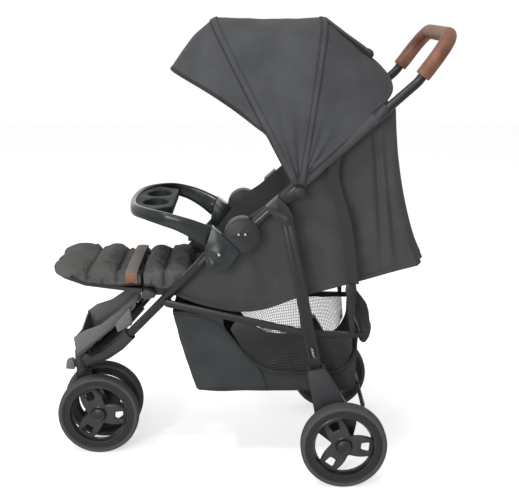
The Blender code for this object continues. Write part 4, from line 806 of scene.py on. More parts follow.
@dataclass
class Joints:
    """Hubs, armrests and brackets that the frame folds about, with their bright rivets."""

    rivet_gap: float = 0.0075
    rivet_radius: float = 0.0027
    face_x: float = 0.2000
    screw: Point = (-0.285, 0.5425)
    screw_radius: float = 0.0032
    screw_x: float = 0.2010

    def rivet(self, side: Side, centre: Point, radius: float, x: float) -> Mesh:
        """Domed rivet head on an outer face."""
        profile = [(0.0, radius), (0.0006, radius * 0.92), (0.0011, radius * 0.6), (0.0013, 0.0)]
        return turned([(-0.0004, radius), *profile], x, centre, side.sign, 24)

    def build(self, shop: Workshop) -> None:
        """Ease the castings and set the rivets and screws."""
        for side in Side:
            for node in ("fold_hub", "leg_bracket"):
                shop.eased(f"{node}_{side.word}", BLACK_PLASTIC, Slot.HOUSING, 0.0032)
            shop.eased(f"armrest_{side.word}", TRAY_PLASTIC, Slot.TRAY, 0.0050)
            heads = [self.rivet(side, (HUB[0] + shift, HUB[1] + 0.004), self.rivet_radius, self.face_x)
                     for shift in (-self.rivet_gap, self.rivet_gap)]
            heads.append(self.rivet(side, self.screw, self.screw_radius, self.screw_x))
            shop.piece(f"rivets_{side.word}", joined(heads), "upper_frame", STEEL, Slot.STEEL)


@dataclass
class Tray:
    """Snap-on tray: a smooth band round the front and a deck with two cup recesses."""

    thickness: float = 0.014
    stations: tuple = (
        (0.1800, (-0.3010, 0.6035), (-0.3165, 0.5560)), (0.1900, (-0.340, 0.620), (-0.346, 0.578)),
        (0.1930, (-0.375, 0.631), (-0.380, 0.597)), (0.1860, (-0.412, 0.639), (-0.417, 0.609)),
        (0.1560, (-0.452, 0.642), (-0.455, 0.616)), (0.1020, (-0.482, 0.642), (-0.484, 0.615)),
        (0.0, (-0.4935, 0.640), (-0.494, 0.612)))
    cup: Point = (0.055, -0.438)
    cup_radii: Point = (0.040, 0.032)
    cup_depth: float = 0.018
    deck_back: float = -0.395
    deck_thickness: float = 0.021
    deck_drop: float = 0.004
    tongue_middle: Point = (-0.30875, 0.57975)
    tongue: Point3 = (0.012, -0.015, 0.006)
    tongue_half: float = 0.007
    steps: int = 96

    def edge(self, which: int) -> list[Vector]:
        """Smooth upper (1) or lower (2) edge of the band from the near end to the far one."""
        near = [spot(station[0], station[which]) for station in self.stations]
        return curve_through(near + [flipped(place, -1) for place in reversed(near[:-1])], self.steps + 1)

    def band(self) -> Mesh:
        """Band with a flat inside and a rounded outside."""
        high, low = self.edge(1), self.edge(2)
        last = self.steps

        def place(u: float, v: float) -> Vector:
            index = round(v * last)
            way = high[min(index + 1, last)] - high[max(index - 1, 0)]
            out = Vector((-way.y, way.x, 0)).normalized() * -1
            if out.dot(high[index] - spot(0, (-0.35, 0))) < 0:
                out.negate()
            turn = 2 * math.pi * u
            rise = (high[index] - low[index]) / 2
            middle = (high[index] + low[index]) / 2
            c, s = math.cos(turn), math.sin(turn)
            power = 0.8 if c > 0 else 0.35
            return (middle + out * (math.copysign(abs(c) ** power, c) * self.thickness / 2)
                    + rise * math.copysign(abs(s) ** 0.55, s))

        return mapped_grid(32, last, place, (0.09, 0.7), welded=True)

    def deck(self) -> Mesh:
        """Deck plate with recessed cups."""
        top = self.stations[-1][1][1] - self.deck_drop
        half = [spot(x, (high[0] + 0.001, top)) for x, high, _ in self.stations[4:]]
        front = curve_through(half + [flipped(place, -1) for place in reversed(half[:-1])], 33)
        back = [spot(x, (self.deck_back, top)) for x in (-0.110, -0.06, 0.0, 0.06, 0.110)]
        bm = bmesh.new()
        loops = [front + back] + [self.cup_loop(side, top) for side in Side]
        rims = [ring_of_edges(bm, loop) for loop in loops]
        bmesh.ops.triangle_fill(bm, edges=bm.edges[:], use_beauty=True)
        for rim, side in zip(rims[1:], Side):
            middle = spot(side.sign * self.cup[0], (self.cup[1], top))
            for drop, scale in ((0.002, 0.955), (self.cup_depth * 0.8, 0.955), (self.cup_depth * 0.18, 0.93)):
                made = bmesh.ops.extrude_edge_only(bm, edges=rim)["geom"]
                rim = only(made, Edge)
                for vert in only(made, Vert):
                    vert.co.xy = middle.xy + (vert.co.xy - middle.xy) * scale
                    vert.co.z -= drop
            bmesh.ops.holes_fill(bm, edges=rim, sides=0)
        made = bmesh.ops.extrude_edge_only(bm, edges=rims[0])["geom"]
        bmesh.ops.translate(bm, verts=only(made, Vert), vec=(0, 0, -self.deck_thickness))
        bmesh.ops.holes_fill(bm, edges=only(made, Edge), sides=0)
        bmesh.ops.recalc_face_normals(bm, faces=bm.faces)
        soften(bm, 0.0012, 2, 50.0)
        return bm

    def cup_loop(self, side: Side, top: float) -> list[Vector]:
        """Ellipse round a cup recess."""
        return [spot(side.sign * self.cup[0] + self.cup_radii[0] * math.cos(turn),
                     (self.cup[1] + self.cup_radii[1] * math.sin(turn), top))
                for turn in (2 * math.pi * index / 40 for index in range(40))]

    def build(self, shop: Workshop) -> None:
        """Make the tray."""
        way = unit((0, 0), (-0.90, 0.44))
        shapes = [self.band()]
        for side in Side:
            front, back, half = self.tongue
            outline = [along(self.tongue_middle, way, distance, offset) for distance, offset in
                       ((front, -half), (back, -half), (back, half), (front, half))]
            ends = (TUBE_X - self.tongue_half, TUBE_X + self.tongue_half)
            low, high = sorted(side.sign * x for x in ends)
            shapes.append(moulded(outline, low, high, 0.001))
        shop.piece("tray_gloss", joined(shapes), "tray", TRAY_PLASTIC, Slot.TRAY, ["tray"], sharp=55.0)
        shop.piece("tray_deck", self.deck(), "tray", DECK_PLASTIC, Slot.TRAY, sharp=55.0)


@dataclass
class FrontFrame:
    """Front legs, the casting over the twin wheels, the fork and the grey footrest."""

    stations: tuple = ((-0.500, 0.374, 0.100), (-0.540, 0.338, 0.104), (-0.580, 0.304, 0.110),
                       (-0.612, 0.277, 0.113), (-0.630, 0.2620, 0.109))
    wall: float = 0.003
    sag: float = 0.012
    rib_width: float = 0.004
    rib_places: tuple = (0.18, 0.34, 0.50, 0.66, 0.82)
    rib_shape: tuple = (-0.6, -0.3, 0.0, 0.3, 0.6)

    def ribs(self) -> Mesh:
        """Anti-slip ribs across the scoop's floor, which the stations give as y, z and half width."""
        middles = curve_through([Vector((half, y, z)) for y, z, half in self.stations], 49)
        shapes = []
        for share in self.rib_places:
            half, y, z = middles[round(share * 48)]
            line = [spot(x * half, (y, z + self.wall - self.sag * (1 - x * x))) for x in self.rib_shape]
            path = curve_through(line, 21)
            shapes.append(swept(path, round_bar(self.rib_width / 2), 10, Vector((0, 1, 0))))
        return joined(shapes)

    def build(self, shop: Workshop) -> None:
        """Dress the legs and castings and make the footrest."""
        for side in Side:
            shop.dress(f"front_leg_{side.word}", BLACK_PAINT)
        shop.dress("front_crown", BLACK_PLASTIC)
        shop.eased("caster_fork", BLACK_PLASTIC, Slot.HOUSING, 0.0012)
        shop.eased("swivel_lock", GREY_PLASTIC, Slot.FOOTREST, 0.0015)
        shop.dress("front_axle", STEEL)
        shop.eased("footrest", GREY_PLASTIC, Slot.FOOTREST, 0.0010)
        shop.piece("footrest_ribs", self.ribs(), "front_frame", GREY_PLASTIC, Slot.FOOTREST)


@dataclass
class Wheel:
    """Foam tyre on a moulded rim with a three-pointed star."""

    label: str
    side: Side
    axle: Point
    x: float
    width: float
    boss: float
    radius: float = 0.100
    seat: float = 0.0880
    gap: float = 0.0003
    inner: float = 0.0665
    web: float = 0.005
    hub: float = 0.0165
    chamfer: float = 0.0026
    first_spoke: float = 115.0
    lens_half: float = 40.0
    lens_inner: float = 0.028
    hole: float = 0.050
    hole_half: tuple = ((-0.0095, 0.006), (-0.0065, 0.0085), (0.0065, 0.0110), (0.0090, 0.0098),
                        (0.0095, 0.0080))

    def tyre(self) -> Mesh:
        """Tyre with rounded shoulders and a shallow groove beside the tread."""
        half = self.width / 2
        side = [(half - 0.0035, self.seat + self.gap), (half - 0.0008, self.seat + 0.0015),
                (half, self.seat + 0.004), (half - 0.0004, self.radius - 0.0055),
                (half - 0.0022, self.radius - 0.0030),
                (half - 0.0050, self.radius - 0.0014), (half - 0.0066, self.radius - 0.0013),
                (half - 0.0080, self.radius - 0.0003), (half - 0.0120, self.radius)]
        profile = side + [(-dx, radius) for dx, radius in reversed(side)] + side[:1]
        return turned(profile, self.x, self.axle, self.side.sign, 112)

    def barrel(self) -> Mesh:
        """Rim from the tyre's seat to the star's edge, with a raised lip."""
        side = self.width / 2 - 0.0035
        edge = [(side, self.seat), (side + 0.0010, self.seat - 0.0012), (side + 0.0006, self.seat - 0.0030),
                (side - 0.0012, self.seat - 0.0040), (side - 0.0016, self.inner + 0.0085),
                (side - 0.0004, self.inner + 0.0065), (side - 0.0008, self.inner + 0.0045),
                (side - 0.0040, self.inner + 0.0032), (self.web, self.inner)]
        profile = edge + [(-dx, radius) for dx, radius in reversed(edge)] + edge[:1]
        return turned(profile, self.x, self.axle, self.side.sign, 96)

    def boss_shape(self) -> Mesh:
        """Hub with a domed cap outside and a spacer inside."""
        half = self.width / 2
        profile = [(-self.boss, 0.0), (-self.boss, self.hub * 0.8), (-self.web, self.hub),
                   (self.web, self.hub + 0.004), (self.web + 0.003, self.hub + 0.001),
                   (half - 0.004, self.hub), (half - 0.0018, self.hub - 0.0012),
                   (half - 0.0006, self.hub - 0.004),
                   (half - 0.0012, self.hub - 0.006), (half - 0.0004, self.hub - 0.008), (half, 0.0)]
        return turned(profile, self.x, self.axle, self.side.sign, 64)

    def openings(self) -> list[list[Point]]:
        """Outlines of the lens windows and of the hole in each point of the star."""
        centre = (0.0, 0.0)
        outer = self.inner - 0.001
        hole = [*self.hole_half, *((distance, -offset) for distance, offset in reversed(self.hole_half))]
        found = []
        for index in range(3):
            spoke = self.first_spoke + 120.0 * index
            middle = spoke + 60.0
            lens = [polar(centre, outer, middle + self.lens_half * (k / 10 - 1)) for k in range(21)]
            for k in range(1, 12):
                share = 1 - k / 6
                radius = self.lens_inner + (outer - self.lens_inner) * abs(share) ** 1.6
                lens.append(polar(centre, radius, middle + self.lens_half * share))
            found.append(lens)
            way = unit(centre, polar(centre, 1, spoke))
            found.append([along(centre, way, self.hole + distance, offset) for distance, offset in hole])
        return found

    def star(self) -> Mesh:
        """Flat star with bevelled edges round its openings."""
        bm = bmesh.new()
        outer = self.inner + 0.003
        rings = [[polar((0, 0), outer, 360 * index / 96) for index in range(96)]]
        rings += [grown(outline, self.chamfer) for outline in self.openings()]
        loops = [ring_of_edges(bm, [(self.web, *point) for point in ring]) for ring in rings]
        bmesh.ops.triangle_fill(bm, edges=bm.edges[:], use_beauty=True)
        for loop, outline in zip(loops[1:], self.openings()):
            for depth in (self.web - self.chamfer, 0.0):
                made = bmesh.ops.extrude_edge_only(bm, edges=loop)["geom"]
                loop = only(made, Edge)
                for vert in only(made, Vert):
                    at = vert.co.yz
                    closest = min(outline, key=lambda point: math.hypot(point[0] - at[0], point[1] - at[1]))
                    vert.co = Vector((depth, *closest))
        bmesh.ops.mirror(bm, geom=bm.verts[:] + bm.edges[:] + bm.faces[:], axis="X", merge_dist=1e-6)
        bmesh.ops.remove_doubles(bm, verts=bm.verts, dist=1e-6)
        bmesh.ops.recalc_face_normals(bm, faces=bm.faces)
        bmesh.ops.translate(bm, verts=bm.verts, vec=spot(self.side.sign * self.x, self.axle))
        return bm

    def build(self, shop: Workshop) -> None:
        """Make the tyre and the rim."""
        body = f"{self.label}_wheel_{self.side.word}"
        tyre, rim = (body.replace("wheel", word) for word in ("tyre", "rim"))
        shop.piece(f"{tyre}_foam", self.tyre(), body, TYRE_FOAM, Slot.TYRE, [tyre], sharp=60.0)
        shapes = [self.barrel(), self.boss_shape(), self.star()]
        shop.piece(f"{rim}_star", joined(shapes), body, RIM_PLASTIC, Slot.RIM, [rim], sharp=28.0)


def grown(outline: Sequence[Point], distance: float) -> list[Point]:
    """Outline moved outwards by a distance.

    Args:
        outline: Points in order round the shape.
        distance: Distance in metres.

    Returns:
        The moved points, in the same order.
    """
    area = sum(a[0] * b[1] - b[0] * a[1] for a, b in zip(outline, [*outline[1:], outline[0]]))
    turn = 1.0 if area > 0 else -1.0
    moved = []
    for index, point in enumerate(outline):
        before, after = outline[index - 1], outline[(index + 1) % len(outline)]
        first, second = unit(before, point), unit(point, after)
        normal = ((first[1] + second[1]) * turn, -(first[0] + second[0]) * turn)
        length = math.hypot(*normal) or 1.0
        moved.append((point[0] + normal[0] / length * distance, point[1] + normal[1] / length * distance))
    return moved


@dataclass
class RearFrame:
    """Rear legs with their springs, feet, axle, brake bar and the rails of the basket."""

    pivot: Point = (-0.1328, 0.6248)
    rail_pin: Point = (-0.0781, 0.3453)
    leg_x: float = 0.190
    window: float = 0.322
    reach: float = 0.0118
    coil: float = 0.0046
    wire: float = 0.0010
    turns: int = 6

    def spring(self, side: Side) -> Mesh:
        """Coil spring in the leg's window."""
        way = unit(self.pivot, self.rail_pin)
        start = spot(side.sign * self.leg_x, along(self.pivot, way, self.window - self.reach))
        end = spot(side.sign * self.leg_x, along(self.pivot, way, self.window + self.reach))
        across = Vector((1, 0, 0))
        other = (end - start).normalized().cross(across)
        steps = self.turns * 20
        path = [start.lerp(end, step / steps) + across * self.coil * math.cos(2 * math.pi * step / 20)
                + other * self.coil * math.sin(2 * math.pi * step / 20) for step in range(steps + 1)]
        return swept(path, round_bar(self.wire), 8, Vector((0, 1, 0)))

    def build(self, shop: Workshop) -> None:
        """Ease the legs, feet and rails and make the springs."""
        for side in Side:
            word = side.word
            shop.eased(f"rear_leg_{word}", BLACK_PAINT, Slot.FRAME, 0.0020)
            shop.piece(f"rear_spring_{word}_coil", self.spring(side), "rear_frame", STEEL, Slot.STEEL,
                       [f"rear_spring_{word}"])
            shop.eased(f"rear_foot_{word}", BLACK_PLASTIC, Slot.HOUSING, 0.0018)
            shop.eased(f"side_rail_{word}", BLACK_PAINT, Slot.FRAME, 0.0012)
        shop.dress("rear_axle", BLACK_PAINT)
        shop.dress("basket_rim", BLACK_PAINT)
        shop.eased("brake_bar", BLACK_PLASTIC, Slot.HOUSING, 0.0008)


# Cloth

def through(columns: Sequence[Sequence[Point]], run: float) -> list[Point]:
    """Side-view points at a share of the way through a row of columns."""
    last = len(columns) - 1
    position = run * last
    step = min(int(position), last - 1)
    t = position - step
    points = []
    for index in range(len(columns[0])):
        a, b, c, d = (columns[min(max(step + shift, 0), last)][index] for shift in (-1, 0, 1, 2))
        points.append(tuple(0.5 * (2 * b[k] + (c[k] - a[k]) * t
                                   + (2 * a[k] - 5 * b[k] + 4 * c[k] - d[k]) * t * t
                                   + (3 * b[k] - a[k] - 3 * c[k] + d[k]) * t ** 3) for k in range(2)))
    return points


def bend3(points: Sequence[Point], share: float) -> Point:
    """Smooth curve through three side-view points."""
    weights = (2 * (share - 0.5) * (share - 1), 4 * share * (1 - share), 2 * share * (share - 0.5))
    return tuple(sum(weight * point[k] for weight, point in zip(weights, points)) for k in range(2))


def facing(bm: Mesh, way: Callable[[Vector], Vector]) -> Mesh:
    """Turn an open sheet's faces towards the direction that way gives for a face's middle."""
    bm.normal_update()
    if sum(face.normal.dot(way(face.calc_center_median())) * face.calc_area() for face in bm.faces) < 0:
        bmesh.ops.reverse_faces(bm, faces=bm.faces)
    return bm


def ribbon(path: Sequence[Vector], inwards: Sequence[Vector], normals: Sequence[Vector], width: float,
           height: float, sides: int = 14) -> Mesh:
    """Closed tape laid along a path, over a sheet's edge or seam.

    Args:
        path: Outer edge of the tape.
        inwards: Direction of the tape's width at each point.
        normals: Direction of its thickness at each point.
        width: Width in metres.
        height: Thickness in metres.
        sides: Points round the section.

    Returns:
        The mesh.
    """
    last = len(path) - 1

    def place(u: float, v: float) -> Vector:
        index = round(v * last)
        c, s = math.cos(2 * math.pi * u), math.sin(2 * math.pi * u)
        across = (1 + math.copysign(abs(c) ** 0.5, c)) * width / 2
        return (path[index] + inwards[index].normalized() * across
                + normals[index].normalized() * math.copysign(abs(s) ** 0.6, s) * height / 2)

    length = sum((b - a).length for a, b in zip(path, path[1:]))
    return mapped_grid(sides, last, place, (2 * width, length), welded=True)


@dataclass
class Basket:
    """Cloth basket on the side rails: a trough, a paler front panel and a net window in each side."""

    half: float = 0.138
    floor: float = 0.188
    corner: float = 0.020
    stations: tuple = (
        (-0.338, -0.396, 0.392), (-0.300, -0.345, 0.385), (-0.262, -0.290, 0.360), (-0.225, -0.235, 0.290),
        (-0.175, -0.178, 0.250), (-0.120, -0.120, 0.243), (-0.060, -0.060, 0.243), (0.000, 0.000, 0.250),
        (0.026, 0.034, 0.290), (0.032, 0.04016, 0.343))
    lean_height: float = 0.204
    sag: float = 0.005
    thickness: float = 0.0016
    yarn: float = 0.0015
    rail: tuple = ((-0.245, 0.3785), (0.023, 0.3425))
    rail_x: float = 0.1605
    panel_foot: float = 0.012
    panel_top: float = 0.385
    panel_cut: tuple = ((-0.188, 0.243), (-0.240, 0.296), (-0.277, 0.358))
    panel_turn: float = 0.42
    net_edge: tuple = ((-0.262, 0.345), (-0.230, 0.290), (-0.190, 0.250), (-0.120, 0.2415), (-0.060, 0.2415),
                       (0.0, 0.249), (0.026, 0.290))
    roll: tuple = ((0.036, 0.397), (0.060, 0.382), (0.0765, 0.354), (0.0770, 0.326), (0.068, 0.304),
                   (0.056, 0.297), (0.0445, 0.306), (0.0420, 0.336), (0.0525, 0.345), (0.0500, 0.354),
                   (0.037, 0.356), (0.033, 0.380))
    roll_middle: Point = (0.050, 0.335)
    hem_width: float = 0.010
    hem_height: float = 0.0038
    pouch_half: float = 0.161
    columns: int = 60
    rows: int = 72

    def lip(self, run: float) -> tuple[float, float, float]:
        """Lower y, upper y and rim height at a share of the basket's length."""
        place = through([((low, rim), (high, 0.0)) for low, high, rim in self.stations], run)
        return place[0][0], place[1][0], place[0][1]

    def lean(self, low: float, high: float, z: float) -> float:
        """Y of the leaning wall at a height."""
        return low + (high - low) * (z - self.floor) / self.lean_height

    def trough(self) -> Mesh:
        """Open trough whose floor sags and whose sides pull in a little."""
        last = self.rows
        table = [self.lip(index / last) for index in range(last + 1)]

        def place(u: float, v: float) -> Vector:
            low, high, rim = table[round(v * last)]
            x, z = self.section(u, rim)
            ends = hump(v, 0.6)
            middle = 1 - (x / self.half) ** 2
            z -= self.sag * ends * middle if z < self.floor + 0.002 else 0.0
            pull = 0.003 * ends * smooth((z - self.floor) / 0.05)
            x -= math.copysign(pull, x)
            return spot(x, (self.lean(low, high, z), z))

        return mapped_grid(self.columns, last, place, (0.55, 0.45))

    def section(self, u: float, rim: float) -> Point:
        """X and z of the U at a share of the way round it."""
        wall = rim - self.floor - self.corner
        arc = self.corner * math.pi / 2
        flat = 2 * (self.half - self.corner)
        shares = (0.0, 0.30, 0.36, 0.64, 0.70, 1.0)
        lengths = (wall, arc, flat, arc, wall)
        index = max(k for k in range(5) if u >= shares[k] - 1e-9)
        t = (u - shares[index]) / (shares[index + 1] - shares[index])
        if index == 0:
            return self.half, rim - t * lengths[0]
        if index == 4:
            return -self.half, self.floor + self.corner + t * lengths[4]
        if index == 2:
            return self.half - self.corner - t * flat, self.floor
        turn = t * math.pi / 2
        side = self.half - self.corner
        if index == 1:
            return side + self.corner * math.cos(turn), self.floor + self.corner * (1 - math.sin(turn))
        return -side - self.corner * math.sin(turn), self.floor + self.corner * (1 - math.cos(turn))

    def wall(self, front: bool) -> Mesh:
        """End wall of the basket."""
        low, high, rim = self.stations[0 if front else -1]

        def place(u: float, v: float) -> Vector:
            x = (self.half - 0.003) * (1 - 2 * u)
            z = self.floor + (rim - self.floor) * v
            tuck = self.corner * 0.45 * (abs(1 - 2 * u) ** 8) * (1 - v) ** 4
            bow = 0.004 * math.sin(math.pi * v) * math.cos(math.pi * (u - 0.5))
            return spot(x, (self.lean(low, high, z) + (-bow if front else bow), z + tuck))

        return mapped_grid(32, 24, place, (0.27, 0.2))

    def panel(self) -> Mesh:
        """Paler cloth stitched over the front wall and round onto both sides, cut back in a curve."""
        low, high, _ = self.stations[0]
        end_y, end_z = self.panel_cut[0]

        def place(u: float, v: float) -> Vector:
            z = self.floor + self.panel_foot + (self.panel_top - self.floor - self.panel_foot) * v
            front = self.lean(low, high, z)
            back = bend3(self.panel_cut, min(max((z - end_z) / 0.115, 0.0), 1.0))[0]
            if z < end_z:
                back = end_y + (end_z - z) * 0.35
            side = abs(2 * u - 1)
            reach = smooth((side - 0.40) / 0.60)
            round_x = min(side / self.panel_turn, 1.0) ** 0.9
            x = math.copysign((self.half + 0.0012) * round_x, 1 - 2 * u)
            turn = max(side - self.panel_turn, 0.0) / 0.58
            y = front - 0.0012 + (back - front) * turn
            return spot(x, (y - 0.004 * (1 - reach) * math.sin(math.pi * v), z))

        return mapped_grid(72, 30, place, (0.5, 0.2))

    def net(self, side: Side) -> Mesh:
        """Net between the low edge of the side and the rail above it."""
        start, end = self.rail
        lower = curve_through([spot(0, point) for point in self.net_edge], 73)

        def place(u: float, v: float) -> Vector:
            bottom = lower[round(u * 72)]
            top = spot(0, (start[0] + (end[0] - start[0]) * u, start[1] + (end[1] - start[1]) * u))
            point = bottom.lerp(top, v)
            x = self.half - 0.004 + (self.rail_x - self.half + 0.004) * v ** 1.5
            return Vector((side.sign * x, point.y, point.z))

        bm = mapped_grid(72, 30, place, (0.27, 0.11))
        bmesh.ops.wireframe(bm, faces=bm.faces, thickness=self.yarn, use_replace=True,
                            use_boundary=True, use_even_offset=False, offset=0.5)
        return bm

    def pouch(self) -> Mesh:
        """Gathered roll of cloth over the rear rim bar."""
        ring = curve_through([spot(0, point) for point in [*self.roll, self.roll[0]]], 49)
        middle = spot(0, self.roll_middle)

        def place(u: float, v: float) -> Vector:
            share = 1 - 2 * v
            full = max(1 - abs(share) ** 7, 0.0) ** 0.5 * (0.86 + 0.14 * math.cos(math.pi * share))
            x = self.pouch_half * share
            point = middle + (ring[round(u * 48)] - middle) * max(full, 0.05)
            return Vector((x, point.y, point.z))

        bm = mapped_grid(48, 60, place, (0.28, 0.30), welded=True)
        crumple(bm, 0.005, Vector((0.05, 0.03, 0.03)), 11.0)
        return bm

    def hem(self, side: Side) -> Mesh:
        """Dark tape round the rim of the trough on one side."""
        path, down, out = [], [], []
        for index in range(self.rows + 1):
            low, high, rim = self.lip(index / self.rows)
            path.append(spot(side.sign * (self.half + 0.0002), (self.lean(low, high, rim), rim + 0.0008)))
            down.append(Vector((0, 0, -1)))
            out.append(Vector((side.sign, 0, 0)))
        return ribbon(path, down, out, self.hem_width, self.hem_height)

    def build(self, shop: Workshop) -> None:
        """Make the trough with its walls, the front panel, the nets and the hems."""
        cloth = joined([self.trough(), self.wall(True), self.wall(False)])
        bmesh.ops.remove_doubles(cloth, verts=cloth.verts, dist=0.0005)
        crumple(cloth, 0.0035, Vector((0.05, 0.06, 0.04)), 5.0)
        trough = shop.piece("basket_trough", cloth, "side_rails", BASKET_CLOTH, Slot.BASKET, ["basket"],
                            self.thickness)
        panel = facing(self.panel(), lambda place: place - spot(0.0, (-0.15, 0.28)))
        crumple(panel, 0.0022, Vector((0.05, 0.06, 0.035)), 9.0)
        front = shop.piece("basket_front_panel", panel, "side_rails", BASKET_PANEL, Slot.BASKET, thick=0.0010)
        pouch = shop.piece("basket_rear_roll", self.pouch(), "side_rails", BASKET_CLOTH, Slot.BASKET)
        nets, hems = [], []
        for side in Side:
            word = side.word
            net, hem = self.net(side), self.hem(side)
            nets.append(shop.piece(f"basket_net_{word}", net, "side_rails", NET_YARN, Slot.BASKET))
            hems.append(shop.piece(f"basket_hem_{word}", hem, "side_rails", HEM_CLOTH, Slot.BASKET))
        for item in (trough, front, pouch, *nets, *hems):
            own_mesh(item)


@dataclass
class Cushion:
    """Quilted pad: the CAD pad's rolls, swollen by cloth simulation between pinned seams."""

    node: str
    body: str
    half: float
    seams: tuple
    floor: Callable[[float], float]
    piping: tuple
    crown: float = 0.004
    voxel: float = 0.005
    pressure: float = 4.0
    cap: float = 0.006
    frames: int = 20
    seam_reach: float = 0.0065
    tip_round: float = 0.0
    tip_flat: float = 0.42
    tip_start: float = -0.605
    tip_run: float = 0.06
    pressed: Optional[Point] = None
    press_depth: float = 0.0055
    gather: float = 0.0022
    valley_depth: float = 0.0046
    pinch_depth: float = 0.0045
    scallop_depth: float = 0.0075
    cord_radius: float = 0.0019
    cord_step: float = 0.012

    def start(self, shop: Workshop) -> Item:
        """Slightly smaller remeshed copy of the CAD pad."""
        bm = bmesh.new()
        bm.from_mesh(shop.nodes[self.node].data)
        bmesh.ops.remove_doubles(bm, verts=bm.verts, dist=1e-5)
        for vert in bm.verts:
            share = min(abs(vert.co.x) / self.half, 1.0)
            above = vert.co.z - self.floor(vert.co.y)
            if above > 0.004:
                was = 0.25 + 0.75 * (1 - share ** 3.5) ** 0.5
                now = 0.45 + 0.55 * (1 - share ** 9) ** 0.5
                vert.co.z += above * (min(now / was, 1.45) - 1) * 0.8 - self.crown * smooth(above / 0.03)
            vert.co.x *= (self.half - 0.0025) / self.half
        name = f"{self.node}_core"
        core = placed(name, mesh_of(name, bm))
        remesh = core.modifiers.new("even faces", "REMESH")
        remesh.mode = "VOXEL"
        remesh.voxel_size = self.voxel
        self.apply(core)
        for vert in core.data.vertices:
            vert.co.y += self.tip_shift(vert.co)
            if self.pressed:
                run, above = self.run(vert.co), vert.co.z - self.floor(vert.co.y)
                start, end = self.pressed
                under = smooth((run - start) / 0.008) * smooth((end - run) / 0.008)
                vert.co.z -= self.press_depth * under * smooth(above / 0.03)
        return core

    def tip_shift(self, place: Vector) -> float:
        """How far the rounded plan of the pad's tip draws a point back."""
        if not self.tip_round:
            return 0.0
        share = min(max(abs(place.x) / self.half - self.tip_flat, 0.0) / (1 - self.tip_flat), 1.0)
        near_tip = smooth((self.tip_start - self.run(place)) / self.tip_run)
        return self.tip_round * (1 - (1 - share ** 2) ** 0.5) * near_tip

    def apply(self, item: Item) -> None:
        """Keep what an object's modifiers make as its own mesh."""
        graph = bpy.context.evaluated_depsgraph_get()
        made = bpy.data.meshes.new_from_object(item.evaluated_get(graph))
        item.modifiers.clear()
        item.data = made

    def hold(self, place: Vector) -> float:
        """How firmly a point is pinned: 1 at the bottom, at the board and in a seam's valley."""
        above = place.z - self.floor(place.y)
        firm = 1.0 if above < 0.004 else 0.0
        for seam in self.seams:
            firm = max(firm, 1 - smooth(abs(self.run(place) - seam) / self.seam_reach))
        return firm

    def run(self, place: Vector) -> float:
        """Distance along the pad that its seams are given in."""
        return place.y - REAR_AXLE_Y

    def swell(self, core: Item) -> None:
        """Blow the pad up between its seams, with each point's move capped."""
        before = [vert.co.copy() for vert in core.data.vertices]
        group = core.vertex_groups.new(name="sewn")
        for vert in core.data.vertices:
            group.add([vert.index], self.hold(vert.co), "REPLACE")
        cloth = core.modifiers.new("filling", "CLOTH")
        cloth.settings.quality = 5
        cloth.settings.mass = 0.2
        cloth.settings.use_pressure = True
        cloth.settings.uniform_pressure_force = self.pressure
        cloth.settings.shrink_min = -0.05
        cloth.settings.vertex_group_mass = "sewn"
        cloth.settings.effector_weights.gravity = 0.0
        cloth.collision_settings.use_collision = False
        cloth.collision_settings.use_self_collision = False
        cloth.point_cache.frame_start = 1
        cloth.point_cache.frame_end = self.frames
        for frame in range(1, self.frames + 1):
            bpy.context.scene.frame_set(frame)
        self.apply(core)
        bpy.context.scene.frame_set(1)
        for vert, place in zip(core.data.vertices, before):
            move = vert.co - place
            if move.length > self.cap:
                vert.co = place + move * (self.cap / move.length)

    def middles(self) -> list[float]:
        """Middle of each roll, where its ends are pinched."""
        ends = [2 * self.seams[0] - self.seams[1], *self.seams, 2 * self.seams[-1] - self.seams[-2]]
        return [(a + b) / 2 for a, b in zip(ends, ends[1:])]

    def pucker(self, bm: Mesh) -> None:
        """Small gathers that run out of the seams, and valleys drawn in along them."""
        bm.normal_update()
        moves = []
        for vert in bm.verts:
            x, y, z = vert.co
            run, above = self.run(vert.co), z - self.floor(y)
            gap = min(abs(run - seam) for seam in self.seams)
            near = math.exp(-(gap / 0.013) ** 2)
            valley = self.valley_depth * math.exp(-(gap / 0.0035) ** 2)
            top = smooth(above / 0.012)
            fine = self.gather * noise.noise(Vector((x / 0.009, y / 0.05, z / 0.02)))
            broad = self.gather * noise.noise(Vector((x / 0.045, y / 0.03 + 4, z / 0.03)))
            edge = math.exp(-((self.half - abs(x)) / 0.010) ** 2)
            pinch = min(abs(run - middle) for middle in self.middles())
            low = 1 - smooth((above - 0.010) / 0.014)
            crease = self.pinch_depth * math.exp(-(pinch / 0.0026) ** 2) * edge * low
            scallop = self.scallop_depth * edge * top * math.exp(-(gap / 0.007) ** 2)
            moves.append(vert.normal * (top * (fine * near + broad - valley) - crease)
                         - Vector((math.copysign(scallop, x), 0, 0)))
        for vert, move in zip(bm.verts, moves):
            vert.co += move

    def cord(self) -> Mesh:
        """Piping sewn round the pad's lower edge."""
        half = self.half - 0.001
        near = [spot(half, point) for point in self.piping]
        if self.tip_round:
            tip = near.pop()
            for step in range(13):
                place = Vector((half * (1 - (1 - self.tip_flat) * step / 12), tip.y, tip.z))
                place.y += self.tip_shift(place) + 0.004
                near.append(place)
        path = near + [flipped(place, -1) for place in reversed(near)]
        soft = rounded([*path, path[0]], [0.002 if self.tip_round else 0.007] * (len(path) - 1), 6)
        fine = []
        for a, b in zip(soft, soft[1:]):
            steps = max(int((b - a).length / self.cord_step), 1)
            fine += [a.lerp(b, step / steps) for step in range(steps)]
        return swept([*fine, soft[-1]], round_bar(self.cord_radius), 10, Vector((0, 0, 1)))

